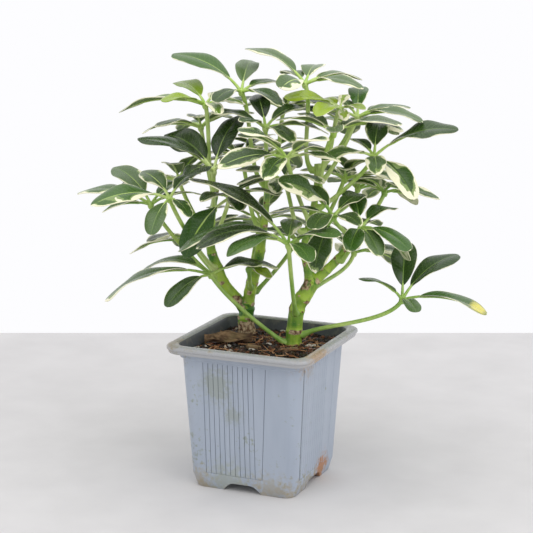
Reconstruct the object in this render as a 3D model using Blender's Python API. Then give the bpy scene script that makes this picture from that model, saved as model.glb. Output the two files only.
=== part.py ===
"""Potted umbrella plant: two variegated cuttings in a square nine-centimetre nursery pot.

The pot's sides lie along X and Y, its base centre is the origin and +Z is up.
The plant is laid out in its own axes, which are the pot's turned about Z:
across (to the right), away (to the back) and height, all in millimetres.
"""
import math
import random

import bmesh
import bpy
from mathutils import Matrix, Vector
from mathutils.bvhtree import BVHTree

MM = 0.001
GAP = 0.3                     # air kept between touching pieces

# pot, in millimetres
POT_HEIGHT = 88.0
RIM_HALF = 45.4
RIM_CORNER = 9.5
RIM_INNER_HALF = 39.4
SKIRT_BOTTOM = 83.0
BODY_TOP_HALF = 38.0
BODY_FOOT_HALF = 33.6
FOOT_HALF = 31.6
FOOT_HEIGHT = 8.0
BODY_CORNER = 8.0
WALL = 1.2
ARCH_WIDTH = 25.0
ARCH_TOP_WIDTH = 15.0
ARCH_HEIGHT = 5.0
POCKET_DEPTH = 13.0
DRAIN_RADIUS = 2.5

# soil
SOIL_TOP = 81.6
SOIL_EDGE = 80.7
SOCKET_DEPTH = 12.0

# plant
PLANT_TURN = math.radians(23.5)
PETIOLE_RADIUS = 1.1
PETIOLE_SEGMENTS = 5
PETIOLE_STANDOFF = 0.6        # a stalk starts square to itself, so its rim leans towards the branch
HUB_RADIUS = 2.0
HUB_HEIGHT = 1.6
BLADE_THICKNESS = 0.6
DROOP = 52.0                  # how far a usual leaflet turns down from its root to its tip, in degrees
# one leaflet's stations: distance along it, half width against its length
BLADE_STATIONS = ((0.17, 0.018), (0.34, 0.155), (0.58, 0.205), (0.86, 0.15), (1.0, 0.03))
BLADE_LONGEST = 52.0          # a longer leaflet has a longer stalk of its own, not a wider blade

# (across, away, height, radius) down the middle of each branch
BRANCHES = {
    "left_foot": ((-10, 27, 68, 5.2), (-10, 27, 80, 5.2), (-11, 27, 90, 5.0), (-10, 27, 99, 4.6)),
    "left_shoot": ((-11, 27, 95, 3.4), (-16, 27, 103, 3.6), (-24, 27, 113, 3.6), (-28, 27, 123, 3.5),
                   (-32, 26, 136, 3.3), (-31, 24, 155, 3.0), (-28, 22, 174, 2.6)),
    "left_leader": ((-10, 27, 95, 3.8), (-8, 27, 110, 3.8), (-3, 27, 130, 3.7), (-1, 26, 142, 3.2),
                    (1, 24, 156, 2.8), (3, 22, 176, 2.3)),
    "right_foot": ((17, 3, 68, 5.2), (18, 3, 88, 5.0), (20, 3, 104, 4.8), (25, 3, 113, 4.8),
                   (29, 3, 120, 4.6)),
    "right_leader": ((28, 3, 117, 3.6), (26, 4, 130, 3.4), (24, 5, 138, 3.3), (26, 5, 150, 3.1),
                     (29, 6, 162, 3.0), (31, 6, 176, 2.7), (31, 6, 190, 2.2)),
    "right_branch": ((28, 3, 118, 3.3), (36, 3, 126, 3.2), (41, 2, 131, 3.0), (48, 0, 140, 2.8),
                     (51, -2, 152, 2.4)),
}
STEMS = {
    "left_stem": ("left_foot", "left_shoot", "left_leader"),
    "right_stem": ("right_foot", "right_leader", "right_branch"),
}

# leaves with each leaflet placed: name, branch, height on it, hub (across, away, height),
# leaflets (bearing, rise, length, droop if unusual); bearing 0 is to the right, 90 away, 180 left
PLACED_LEAVES = (
    ("leaf_low_left", "right_foot", 83, (-31, -5, 126),
     ((190, -12, 64, 66), (150, -5, 50, 76), (230, -18, 40), (25, 0, 44))),
    ("leaf_low_right", "right_foot", 88, (81, -10, 112),
     ((210, 28, 34), (82, 48, 40), (30, 30, 46), (340, -5, 51), (285, -3, 25))),
    ("leaf_front", "right_foot", 102, (14, -35, 150),
     ((160, 30, 70), (172, -5, 64, 78), (200, -3, 55, 80), (222, 0, 46, 70), (85, 15, 34), (320, 15, 38),
      (290, -5, 34))),
    ("leaf_left", "left_shoot", 124, (-54, -15, 173),
     ((205, 0, 48), (125, 20, 34), (60, 20, 32), (250, -30, 32), (300, -15, 26))),
    ("leaf_far_left", "left_shoot", 118, (-67, 15, 164),
     ((160, 5, 48), (130, 25, 42), (200, -5, 30), (55, 15, 36), (20, 8, 32))),
    ("leaf_left_dark", "left_shoot", 160, (-29, -5, 187),
     ((200, 25, 50), (130, 22, 46), (55, 47, 42), (320, 25, 38), (245, 5, 34))),
    ("leaf_left_inner", "left_shoot", 142, (-20, -2, 171),
     ((204, -45, 43), (238, 5, 30), (330, 8, 34), (20, 20, 32), (285, 0, 28))),
    ("leaf_top_left", "left_shoot", 173, (-34, 10, 224),
     ((120, 15, 38), (215, 8, 30), (172, -6, 52), (62, 8, 30), (350, 2, 24), (290, -5, 26))),
    ("leaf_top_back_left", "left_leader", 175, (-13, 15, 231),
     ((155, 24, 50), (80, 25, 36), (40, 5, 32), (310, -8, 36), (240, -5, 30))),
    ("leaf_top_middle", "right_leader", 186, (24, 10, 236),
     ((145, 24, 46), (245, 2, 34), (75, 12, 36), (35, 0, 42), (325, 0, 40), (110, 10, 34))),
    ("leaf_young_lime", "right_leader", 188, (44, 5, 222),
     ((205, 8, 36), (245, 0, 34), (70, 25, 17), (315, 5, 20), (280, -15, 17), (115, 8, 24))),
    ("leaf_top_right", "right_leader", 180, (55, 15, 216),
     ((40, -3, 42), (330, 0, 42), (85, 28, 32), (125, 20, 28), (190, 5, 28), (5, 5, 32))),
    ("leaf_upper_right", "right_leader", 176, (40, -10, 210),
     ((205, 15, 38), (335, 10, 42), (270, 10, 28), (130, 15, 28), (60, 12, 32))),
    ("leaf_right", "right_leader", 164, (64, 0, 195),
     ((340, 20, 53), (80, 26, 38), (120, 16, 27), (210, 2, 38), (270, -10, 32), (305, -28, 42))),
    ("leaf_middle_right", "right_branch", 134, (56, -15, 156),
     ((50, 10, 36), (75, -8, 30), (315, -12, 38), (290, -22, 30), (20, -35, 38), (255, -15, 31),
      (115, 25, 38))),
    ("leaf_middle_front", "right_branch", 150, (40, -20, 163),
     ((50, 8, 31), (300, 0, 29), (215, 32, 46), (105, 16, 36), (250, 0, 36), (160, 18, 38), (245, -45, 38))),
    ("leaf_crown_front", "right_leader", 158, (13, -25, 198),
     ((225, 27, 42), (203, -4, 42), (250, -6, 36), (310, 22, 38), (50, 0, 34), (337, 0, 33), (150, 20, 34))),
    ("leaf_crown_upright", "left_leader", 172, (1, 5, 211),
     ((100, 30, 33), (235, 15, 26), (40, 20, 32), (0, -3, 38), (300, -8, 32), (170, 10, 34))),
)

# leaves whose leaflets follow the usual whorl: name, branch, height on it, hub, leaflets, longest leaflet,
# bearing that the whorl leans to, lean in degrees
WHORLED_LEAVES = (
    ("leaf_young_inner", "left_leader", 112, (-9, 10, 126), 3, 27, 200, -40),
    ("leaf_inner_low", "left_leader", 108, (20, 46, 136), 6, 36, 60, 20),
    ("leaf_inner_left", "left_leader", 148, (-14, 36, 190), 6, 36, 120, 10),
    ("leaf_inner_right", "right_leader", 142, (48, 22, 178), 7, 38, 40, 20),
    ("leaf_heart", "right_leader", 150, (12, 2, 180), 6, 34, 230, 10),
    ("leaf_pale_right", "right_branch", 146, (72, 22, 170), 6, 36, 30, 25),
    ("leaf_back_top", "left_leader", 174, (12, 36, 218), 7, 40, 90, 15),
    ("leaf_back_top_left", "left_shoot", 170, (-38, 44, 206), 7, 42, 120, 20),
    ("leaf_back_top_right", "right_leader", 184, (52, 46, 206), 7, 42, 60, 20),
    ("leaf_back_middle", "left_leader", 150, (2, 62, 186), 7, 44, 90, 25),
    ("leaf_back_left", "left_shoot", 142, (-52, 52, 172), 7, 44, 135, 25),
    ("leaf_back_right", "right_leader", 148, (58, 58, 166), 7, 44, 50, 25),
    ("leaf_back_low_left", "left_shoot", 114, (-44, 60, 132), 6, 46, 130, 30),
    ("leaf_back_low", "left_foot", 96, (-2, 74, 142), 7, 46, 90, 30),
    ("leaf_back_low_right", "right_foot", 110, (56, 56, 126), 6, 46, 40, 30),
)

LITTER_REST = SOIL_TOP + GAP


def plain_material(name, colour, roughness):
    material = bpy.data.materials.new(name)
    material.use_nodes = True
    shader = material.node_tree.nodes["Principled BSDF"]
    shader.inputs["Base Color"].default_value = (*colour, 1.0)
    shader.inputs["Roughness"].default_value = roughness
    shader.inputs["Metallic"].default_value = 0.0
    return material


def clear_scene():
    for old in list(bpy.data.objects):
        bpy.data.objects.remove(old, do_unlink=True)


def new_collection(name):
    made = bpy.data.collections.new(name)
    bpy.context.scene.collection.children.link(made)
    return made


def add_object(name, mesh, material, parent=None, collection=None):
    piece = bpy.data.objects.new(name, mesh)
    piece.data.materials.clear()
    if material:
        piece.data.materials.append(material)
    (collection or PARTS).objects.link(piece)
    piece.parent = parent
    return piece


def mesh_from(bm, name):
    bmesh.ops.recalc_face_normals(bm, faces=bm.faces)
    if bm.calc_volume(signed=True) < 0:
        bmesh.ops.reverse_faces(bm, faces=bm.faces)
    mesh = bpy.data.meshes.new(name)
    bm.to_mesh(mesh)
    bm.free()
    return mesh


def add_cutter(name, mesh, parent=None):
    cutter = add_object(name, mesh, None, parent, CUTTERS)
    cutter.hide_render = True
    cutter.display_type = "WIRE"
    return cutter


def boolean(piece, other, operation):
    modifier = piece.modifiers.new(f"{operation.lower()} {other.name}", "BOOLEAN")
    modifier.operation = operation
    modifier.object = other
    modifier.solver = "EXACT"


# ---------------------------------------------------------------- pot and soil

def square_corners(half, corner, height, corner_steps=4):
    """Points round a square with rounded corners, at one height."""
    points = []
    for quarter in range(4):
        inset = Vector((half - corner, half - corner, height))
        centre = Matrix.Rotation(math.radians(90 * quarter), 3, "Z") @ inset
        for step in range(corner_steps + 1):
            angle = math.radians(90 * (quarter + step / corner_steps))
            points.append(centre + Vector((math.cos(angle), math.sin(angle), 0)) * corner)
    return points


def lofted_square(sections):
    """A closed block through rounded squares of (half side, corner radius, height)."""
    bm = bmesh.new()
    rings = [[bm.verts.new(point * MM) for point in square_corners(*section)] for section in sections]
    for lower, upper in zip(rings, rings[1:]):
        for k in range(len(lower)):
            bm.faces.new((lower[k - 1], lower[k], upper[k], upper[k - 1]))
    bm.faces.new(rings[0][::-1])
    bm.faces.new(rings[-1])
    return bm


def body_half(height, inset=0.0):
    """Half the pot body's width at a height, less an inset."""
    share = (height - FOOT_HEIGHT) / (SKIRT_BOTTOM - FOOT_HEIGHT)
    return BODY_FOOT_HALF + (BODY_TOP_HALF - BODY_FOOT_HALF) * share - inset


def arch_block(grow, outer, name):
    """A trapezoid prism under the middle of the front side: the arch, or its cover when it is grown."""
    bm = bmesh.new()
    bmesh.ops.create_cube(bm, size=1.0)
    inner = -body_half(0) + POCKET_DEPTH + grow
    for vert in bm.verts:
        top = vert.co.z > 0
        width = (ARCH_TOP_WIDTH if top else ARCH_WIDTH) + 2 * grow
        vert.co.x *= width * MM
        vert.co.y = (inner if vert.co.y > 0 else outer) * MM
        vert.co.z = (ARCH_HEIGHT + grow if top else -1.0) * MM
    return mesh_from(bm, name)


def make_pot(material):
    body = lofted_square((
        (FOOT_HALF, BODY_CORNER - 1.5, 0.0),
        (BODY_FOOT_HALF, BODY_CORNER, FOOT_HEIGHT),
        (BODY_TOP_HALF, BODY_CORNER, SKIRT_BOTTOM - 1.2),
        (BODY_TOP_HALF + 1.4, BODY_CORNER + 0.6, SKIRT_BOTTOM),
        (RIM_HALF, RIM_CORNER, SKIRT_BOTTOM),
        (RIM_HALF, RIM_CORNER, POT_HEIGHT - 1.4),
        (RIM_HALF - 0.5, RIM_CORNER - 0.3, POT_HEIGHT - 0.4),
        (RIM_HALF - 1.5, RIM_CORNER - 1.0, POT_HEIGHT),
        (RIM_INNER_HALF + 0.8, BODY_CORNER, POT_HEIGHT),
    ))
    pot = add_object("pot", mesh_from(body, "pot"), material)

    cavity = lofted_square((
        (FOOT_HALF - WALL, BODY_CORNER - 2.5, WALL),
        (BODY_FOOT_HALF - WALL, BODY_CORNER - 1.2, FOOT_HEIGHT),
        (body_half(SKIRT_BOTTOM - 2, WALL), BODY_CORNER - 1.2, SKIRT_BOTTOM - 2.0),
        (RIM_INNER_HALF, BODY_CORNER - 0.5, POT_HEIGHT - 1.0),
        (RIM_INNER_HALF + 0.8, BODY_CORNER, POT_HEIGHT + 0.01),
    ))
    cavity = add_cutter("cutter_cavity", mesh_from(cavity, "cavity"))

    under_lip = lofted_square(((RIM_HALF - 1.3, RIM_CORNER - 1.3, SKIRT_BOTTOM - 1.0),
                               (RIM_HALF - 1.3, RIM_CORNER - 1.3, POT_HEIGHT - 1.4)))
    under_lip = add_cutter("cutter_under_lip", mesh_from(under_lip, "under_lip"))
    lip_core = lofted_square(((BODY_TOP_HALF + 1.4, BODY_CORNER + 0.6, SKIRT_BOTTOM - 5.0),
                              (BODY_TOP_HALF + 2.6, BODY_CORNER + 0.8, POT_HEIGHT)))
    boolean(under_lip, add_cutter("cutter_lip_core", mesh_from(lip_core, "lip_core")), "DIFFERENCE")

    cover = arch_block(WALL, -body_half(FOOT_HEIGHT) - 5.0, "arch_cover")
    tunnel = arch_block(0.0, -body_half(FOOT_HEIGHT) - 5.0, "arch_tunnel")
    tunnels = []
    for side in range(4):
        turn = math.radians(90 * side)
        over = add_cutter(f"cutter_cover_{side}", cover)
        over.rotation_euler.z = turn
        boolean(cavity, over, "DIFFERENCE")
        under = add_cutter(f"cutter_tunnel_{side}", tunnel)
        under.rotation_euler.z = turn
        drain = bmesh.new()
        bmesh.ops.create_cone(drain, cap_ends=True, segments=10, radius1=DRAIN_RADIUS * MM,
                              radius2=DRAIN_RADIUS * MM, depth=6 * MM)
        drain = add_cutter(f"cutter_drain_{side}", mesh_from(drain, "drain"))
        away = body_half(0) - POCKET_DEPTH + DRAIN_RADIUS + 2.0
        drain.location = Matrix.Rotation(turn, 3, "Z") @ Vector((0, -away, ARCH_HEIGHT)) * MM
        tunnels += [under, drain]
    boolean(pot, cavity, "DIFFERENCE")
    boolean(pot, under_lip, "DIFFERENCE")
    for cutter in tunnels:
        boolean(pot, cutter, "DIFFERENCE")
    return pot


def make_soil(material, axes):
    clear = WALL + GAP
    soil = lofted_square((
        (FOOT_HALF - clear, BODY_CORNER - 2.7, WALL + GAP),
        (BODY_FOOT_HALF - clear, BODY_CORNER - 1.4, FOOT_HEIGHT),
        (body_half(SOIL_EDGE, clear), BODY_CORNER - 1.4, SOIL_EDGE),
        (body_half(SOIL_EDGE, clear) - 5.0, BODY_CORNER - 3.0, SOIL_TOP),
    ))
    soil = add_object("soil", mesh_from(soil, "soil"), material)
    cover = arch_block(WALL + GAP, -body_half(FOOT_HEIGHT) - 5.0, "soil_arch")
    for side in range(4):
        over = add_cutter(f"cutter_soil_arch_{side}", cover)
        over.rotation_euler.z = math.radians(90 * side)
        boolean(soil, over, "DIFFERENCE")
    for name in ("left_foot", "right_foot"):
        across, away, foot, radius = BRANCHES[name][0]
        socket = bmesh.new()
        bmesh.ops.create_cone(socket, cap_ends=True, segments=16, radius1=(radius + 2 * GAP) * MM,
                              radius2=(radius + 2 * GAP) * MM, depth=2 * SOCKET_DEPTH * MM)
        socket = add_cutter(f"cutter_socket_{name}", mesh_from(socket, "socket"), axes)
        socket.location = Vector((across, away, foot - GAP + SOCKET_DEPTH)) * MM
        boolean(soil, socket, "DIFFERENCE")
    return soil


# ---------------------------------------------------------------- stems

def branch_tube(name, axes):
    """One branch as a capped tube through its points, made a mesh."""
    curve = bpy.data.curves.new(name, "CURVE")
    curve.dimensions = "3D"
    curve.bevel_depth = MM
    curve.bevel_resolution = 3
    curve.use_fill_caps = True
    spline = curve.splines.new("POLY")
    spline.points.add(len(BRANCHES[name]) - 1)
    for point, (across, away, height, radius) in zip(spline.points, BRANCHES[name]):
        point.co = (across * MM, away * MM, height * MM, 1.0)
        point.radius = radius
    guide = bpy.data.objects.new(name, curve)
    CUTTERS.objects.link(guide)
    guide.parent = axes
    bpy.context.view_layer.update()
    mesh = bpy.data.meshes.new_from_object(guide.evaluated_get(bpy.context.evaluated_depsgraph_get()))
    bpy.data.objects.remove(guide)
    bm = bmesh.new()
    bm.from_mesh(mesh)
    bmesh.ops.remove_doubles(bm, verts=bm.verts, dist=1e-6)
    return mesh_from(bm, name)


def make_stem(name, material, axes):
    first, *others = (branch_tube(branch, axes) for branch in STEMS[name])
    stem = add_object(name, first, material, axes)
    for mesh in others:
        boolean(stem, add_cutter(f"join_{mesh.name}", mesh, axes), "UNION")
    return stem


def branch_at(name, height):
    """The middle and the radius of a branch at a height."""
    points = BRANCHES[name]
    for low, high in zip(points, points[1:]):
        if height <= high[2]:
            break
    share = (height - low[2]) / (high[2] - low[2])
    mixed = [a + (b - a) * share for a, b in zip(low, high)]
    direction = (Vector(high[:3]) - Vector(low[:3])).normalized()
    return Vector(mixed[:3]), mixed[3], direction


# ---------------------------------------------------------------- leaves

def heading(bearing, rise=0.0):
    bearing, rise = math.radians(bearing), math.radians(rise)
    return Vector((math.cos(bearing) * math.cos(rise), math.sin(bearing) * math.cos(rise), math.sin(rise)))


def leaflet_frames(hub, leaflet, stations):
    """Points along a leaflet's arc with its side and its normal; the arc's chord is the stated leaflet."""
    bearing, rise, length, droop = leaflet
    outward, side = heading(bearing), heading(bearing - 90)
    turn = math.radians(droop)
    start = math.radians(rise) + turn / 2
    arc = length / (2 * math.sin(turn / 2))
    for along in stations:
        slope = start - turn * along
        out = arc * (math.sin(start) - math.sin(slope))
        up = arc * (math.cos(slope) - math.cos(start))
        normal = Vector((0, 0, math.cos(slope))) - outward * math.sin(slope)
        yield hub + outward * out + Vector((0, 0, up)), side, normal


def leaflet_sections(hub, leaflet, grow=0.0, root=False):
    """The four corners of the blade at each station, grown by a margin, with its root in the hub if asked."""
    sections = []
    stations = (((0.8 * HUB_RADIUS / leaflet[2], 0.0),) if root else ()) + BLADE_STATIONS
    frames = leaflet_frames(hub, leaflet, [along for along, _ in stations])
    for (along, share), (point, side, normal) in zip(stations, frames):
        half = max(share * min(leaflet[2], BLADE_LONGEST), 0.8) + grow
        thick = BLADE_THICKNESS / 2 + grow
        corners = ((-half, -thick), (half, -thick), (half, thick), (-half, thick))
        sections.append([point + side * x + normal * y for x, y in corners])
    return sections


def petiole_points(branch, height, hub, bulge):
    """A leaf stalk from the side of its branch to the hub, bowed outwards by a bulge."""
    middle, radius, direction = branch_at(branch, height)
    flat = Vector((hub.x - middle.x, hub.y - middle.y, 0))
    out = flat.normalized()
    surface = radius / math.sqrt(1 - out.dot(direction) ** 2)
    start = middle + out * (surface + GAP + PETIOLE_STANDOFF)
    reach = (hub - start).length
    first = start + (out * 0.8 + Vector((0, 0, 0.6))) * reach * 0.22 + bulge
    second = hub - Vector((0, 0, 0.75)) * reach * 0.3 - out * reach * 0.12 + bulge
    points = []
    for step in range(PETIOLE_SEGMENTS + 1):
        t = step / PETIOLE_SEGMENTS
        points.append(start * (1 - t) ** 3 + first * 3 * t * (1 - t) ** 2
                      + second * 3 * t * t * (1 - t) + hub * t ** 3)
    return points, out


def tube_rings(points, radius, sides, first_direction):
    """Rings of corners square to a route; the first ring faces along the first direction."""
    rings = []
    for index, point in enumerate(points):
        before, after = points[max(index - 1, 0)], points[min(index + 1, len(points) - 1)]
        direction = first_direction if index == 0 else (after - before).normalized()
        reference = Vector((0, 0, 1)) if abs(direction.z) < 0.7 else first_direction
        side = direction.cross(reference).normalized()
        other = side.cross(direction)
        rings.append([point + (side * math.cos(angle) + other * math.sin(angle)) * radius
                      for angle in (2 * math.pi * k / sides for k in range(sides))])
    return rings


def branch_rings(points):
    """The rings of a branch's tube, each at its own radius."""
    middles = [Vector(point[:3]) for point in points]
    rings = tube_rings(middles, 1.0, 10, (middles[1] - middles[0]).normalized())
    return [[middle + (corner - middle) * point[3] for corner in ring]
            for middle, point, ring in zip(middles, points, rings)]


class Crown:
    """What has been placed so far, to keep each new stalk or leaflet clear of it.

    A leaf's own leaflets share its hub, so they are tested against each other past their roots only.
    """

    def __init__(self):
        self.placed = []

    @staticmethod
    def solid(sections):
        """A test solid through rings of equal count, closed past the last, with its middle and its reach."""
        corners = [corner for section in sections for corner in section]
        count = len(sections[0])
        faces = [tuple(range(len(corners) - count, len(corners)))]
        for ring in range(len(sections) - 1):
            for k in range(count):
                a, b = ring * count + k, ring * count + (k + 1) % count
                faces.append((a, b, b + count, a + count))
        middle = sum(corners, Vector()) / len(corners)
        reach = max((corner - middle).length for corner in corners)
        return BVHTree.FromPolygons(corners, faces), middle, reach

    def is_clear(self, owner, sections, roots=0):
        """Whether rings are clear of what is placed; the first rings are roots, left out for its own leaf."""
        whole, beyond = self.solid(sections), self.solid(sections[roots:])
        for other_owner, other_whole, other_beyond in self.placed:
            new, old = (beyond, other_beyond) if owner == other_owner else (whole, other_whole)
            if old and (new[1] - old[1]).length < new[2] + old[2] and new[0].overlap(old[0]):
                return False
        return True

    def add(self, owner, sections, roots=0):
        beyond = self.solid(sections[roots:]) if len(sections) > roots else None
        self.placed.append((owner, self.solid(sections), beyond))


def whorl(count, longest, lean_bearing, lean, seed):
    """A usual leaf's leaflets: evenly spread, longest on the side that the leaf leans to."""
    chance = random.Random(seed)
    spin = chance.uniform(0, 360)
    leaflets = []
    for k in range(count):
        bearing = spin + 360 / count * k + chance.uniform(-7, 7)
        towards = math.cos(math.radians(bearing - lean_bearing))
        rise = 8 - lean * towards + chance.uniform(-6, 6)
        length = longest * (0.88 + 0.12 * towards) * chance.uniform(0.92, 1.0)
        leaflets.append((bearing, rise, length, DROOP))
    return leaflets


def small_turns():
    """Turns of bearing and rise to try on a leaflet that meets another, the smallest first."""
    steps = (0, 5, -5, 10, -10, 16, -16, 23, -23, 31, -31)
    turns = [(b, r, 1.0) for b in steps for r in steps]
    turns.sort(key=lambda turn: abs(turn[0]) + abs(turn[1]))
    return turns + [(b, r, 0.8) for b, r, _ in turns if abs(b) + abs(r) < 42]


def settle_stalks(crown, leaves):
    """Bow each leaf stalk the least that keeps it clear of the stems and the other stalks."""
    stalks = {}
    bows = sorted(((x, y) for x in range(-15, 16, 3) for y in range(-15, 16, 3)),
                  key=lambda bow: bow[0] ** 2 + bow[1] ** 2)
    for name, branch, height, hub, _ in leaves:
        for x, y in bows:
            points, out = petiole_points(branch, height, hub, Vector((x, y, 0)))
            test = tube_rings(points[:-1] + [hub - Vector((0, 0, HUB_HEIGHT))], PETIOLE_RADIUS + GAP, 6, out)
            hub_rings = tube_rings([hub - Vector((0, 0, HUB_HEIGHT)), hub + Vector((0, 0, HUB_HEIGHT))],
                                   HUB_RADIUS + GAP, 6, Vector((0, 0, 1)))
            if crown.is_clear(name, test) and crown.is_clear(name, hub_rings):
                break
        else:
            print("no clear way for the stalk of", name)
        crown.add(name, test)
        crown.add(name, hub_rings, roots=len(hub_rings))
        stalks[name] = (points, out)
    return stalks


def settle_leaflets(crown, leaves):
    """Turn each leaflet the least that keeps it clear of what is placed; one with no room stays out."""
    turns = small_turns()
    settled = {}
    for name, _, _, hub, leaflets in leaves:
        kept = []
        for bearing, rise, length, droop in leaflets:
            for turn, tip, shrink in turns:
                trial = (bearing + turn, rise + tip, length * shrink, droop)
                if crown.is_clear(name, leaflet_sections(hub, trial, GAP, root=True), roots=1):
                    crown.add(name, leaflet_sections(hub, trial, root=True), roots=1)
                    kept.append(trial)
                    break
            else:
                print("no room in", name, "for the leaflet at", round(bearing))
        settled[name] = kept
    return settled


def grow_sections(bm, face, sections):
    """Extrude a face through rings of corners that match its own."""
    for section in sections:
        result = bmesh.ops.extrude_discrete_faces(bm, faces=[face])
        face = result["faces"][0]
        for loop, corner in zip(face.loops, section):
            loop.vert.co = corner * MM
    return face


def make_leaf(name, hub, stalk, leaflets, material, axes):
    """One leaf: a small hub whose sides grow into the leaflets and whose underside grows into the stalk."""
    ordered = sorted(leaflets, key=lambda leaflet: leaflet[0] % 360)
    bearings = [leaflet[0] % 360 for leaflet in ordered]
    corners, owners = [], []
    for k, bearing in enumerate(bearings):
        following = bearings[(k + 1) % len(bearings)] + (360 if k + 1 == len(bearings) else 0)
        span = (following - bearing) % 360 or 360
        owners.append(ordered[k])
        if span > 130:
            corners += [bearing + 40, following - 40]
            owners.append(None)
        else:
            corners.append(bearing + span / 2)
    sides = len(corners)

    bm = bmesh.new()
    lower, upper = [], []
    for angle in corners:
        reach = heading(angle) * HUB_RADIUS
        lower.append(bm.verts.new((hub + reach - Vector((0, 0, HUB_HEIGHT / 2))) * MM))
        upper.append(bm.verts.new((hub + reach + Vector((0, 0, HUB_HEIGHT / 2))) * MM))
    bm.faces.new(upper)
    base = bm.faces.new(lower[::-1])
    walls = []
    for k in range(sides):
        before = k - 1
        walls.append(bm.faces.new((lower[before], lower[k], upper[k], upper[before])))
    for wall, owner in zip(walls, owners):
        if owner:
            grow_leaflet(bm, wall, leaflet_sections(hub, owner), owner)

    points, out = stalk
    grow_stalk(bm, base, tube_rings(points[:-1], PETIOLE_RADIUS, sides, out)[::-1])
    return add_object(name, mesh_from(bm, name), material, axes)


def grow_leaflet(bm, wall, sections, leaflet):
    """The wall's corners run low-left, low-right, high-right, high-left as seen from outside."""
    side = heading(leaflet[0] - 90)
    loops = sorted(wall.loops, key=lambda loop: loop.vert.co.z)
    low = sorted((loop.vert for loop in loops[:2]), key=lambda vert: vert.co.dot(side))
    high = sorted((loop.vert for loop in loops[2:]), key=lambda vert: vert.co.dot(side))
    order = [low[0], low[1], high[1], high[0]]
    places = [order.index(loop.vert) for loop in wall.loops]
    grow_sections(bm, wall, [[section[place] for place in places] for section in sections])


def grow_stalk(bm, base, rings):
    """Carry the hub's underside down the stalk, each ring turned to follow the one above it."""
    current = [loop.vert.co / MM for loop in base.loops]
    matched = []
    for ring in rings:
        middle = sum(ring, Vector()) / len(ring)
        shift = middle - sum(current, Vector()) / len(current)
        turned = [order[turn:] + order[:turn] for order in (ring, ring[::-1]) for turn in range(len(ring))]
        current = min(turned, key=lambda option: sum((a + shift - b).length for a, b in zip(current, option)))
        matched.append(current)
    grow_sections(bm, base, matched)


# ---------------------------------------------------------------- litter on the soil

def curled_sheet(length, width, thickness, curl, waves):
    """A dry leaf: a pointed sheet bent up at its long edges, given a thickness."""
    bm = bmesh.new()
    bmesh.ops.create_grid(bm, x_segments=8, y_segments=2, size=0.5)
    for vert in bm.verts:
        along, across = vert.co.x, vert.co.y * 2
        half = width / 2 * (1 - (2 * along) ** 2) + 0.8
        lift = curl * across * across + waves * math.sin(along * 9)
        vert.co = Vector((along * length, across * half, lift)) * MM
    bmesh.ops.recalc_face_normals(bm, faces=bm.faces)
    bmesh.ops.solidify(bm, geom=bm.faces[:], thickness=thickness * MM)
    return mesh_from(bm, "curled_sheet")


def chip(length, width, height):
    """A flat chip of bark with its edges broken."""
    bm = bmesh.new()
    bmesh.ops.create_cube(bm, size=1.0)
    bmesh.ops.scale(bm, verts=bm.verts, vec=Vector((length, width, height)) * MM)
    bmesh.ops.bevel(bm, geom=bm.edges, offset=0.3 * height * MM, segments=1, profile=0.5,
                    affect="EDGES", material=-1)
    return mesh_from(bm, "chip")


def lay(piece, across, away, turn, tilt=0.0):
    """Set a litter piece down on the soil, lowest point a gap above it."""
    piece.rotation_euler = (math.radians(tilt), 0, math.radians(turn))
    lowest = min((piece.rotation_euler.to_matrix() @ vert.co).z for vert in piece.data.vertices)
    piece.location = Vector((across * MM, away * MM, LITTER_REST * MM - lowest))
    return piece


# ---------------------------------------------------------------- the whole part

clear_scene()
PARTS = new_collection("potted_umbrella_plant")
CUTTERS = new_collection("cutters")

plastic = plain_material("pot_plastic", (0.36, 0.41, 0.46), 0.45)
potting_mix = plain_material("potting_mix", (0.02, 0.012, 0.008), 0.95)
green_stem = plain_material("green_stem", (0.10, 0.24, 0.03), 0.5)
leaf_green = plain_material("leaf_green", (0.03, 0.09, 0.02), 0.35)
young_leaf = plain_material("young_leaf", (0.28, 0.45, 0.03), 0.4)
dry_brown = plain_material("dry_brown", (0.20, 0.09, 0.04), 0.85)

plant_axes = bpy.data.objects.new("plant_axes", None)
PARTS.objects.link(plant_axes)
plant_axes.rotation_euler.z = PLANT_TURN

make_pot(plastic)
make_soil(potting_mix, plant_axes)
for stem_name in STEMS:
    make_stem(stem_name, green_stem, plant_axes)

leaves = [(name, branch, height, Vector(hub), [(*leaflet, DROOP)[:4] for leaflet in leaflets])
          for name, branch, height, hub, leaflets in PLACED_LEAVES]
for seed, (name, branch, height, hub, count, longest, lean_bearing, lean) in enumerate(WHORLED_LEAVES):
    leaves.append((name, branch, height, Vector(hub), whorl(count, longest, lean_bearing, lean, seed)))

crown = Crown()
rim = [[Matrix.Rotation(-PLANT_TURN, 3, "Z") @ point for point in square_corners(half, BODY_CORNER, height)]
       for half, height in ((RIM_HALF, POT_HEIGHT), (RIM_INNER_HALF, POT_HEIGHT), (RIM_INNER_HALF, SOIL_TOP))]
crown.add("pot and soil", rim)
for branch, points in BRANCHES.items():
    crown.add(branch, branch_rings(points))
stalks = settle_stalks(crown, leaves)
leaflets_by_leaf = settle_leaflets(crown, leaves)
for name, _, _, hub, _ in leaves:
    material = young_leaf if "young" in name else leaf_green
    make_leaf(name, hub, stalks[name], leaflets_by_leaf[name], material, plant_axes)

lay(add_object("dry_leaf", curled_sheet(29, 12, 0.5, 3.0, 0.8), dry_brown, plant_axes), -21, 6, 8)
lay(add_object("wood_chip", chip(10, 3.5, 1.6), dry_brown, plant_axes), 15, -13, 12)
lay(add_object("root_left", chip(15, 1.2, 1.0), dry_brown, plant_axes), 1, 8, 40)
lay(add_object("root_right", chip(14, 1.2, 1.0), dry_brown, plant_axes), 33, -4, 105)
lay(add_object("bark_bit", chip(8, 4.0, 1.8), dry_brown, plant_axes), -6, -8, 150)
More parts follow.
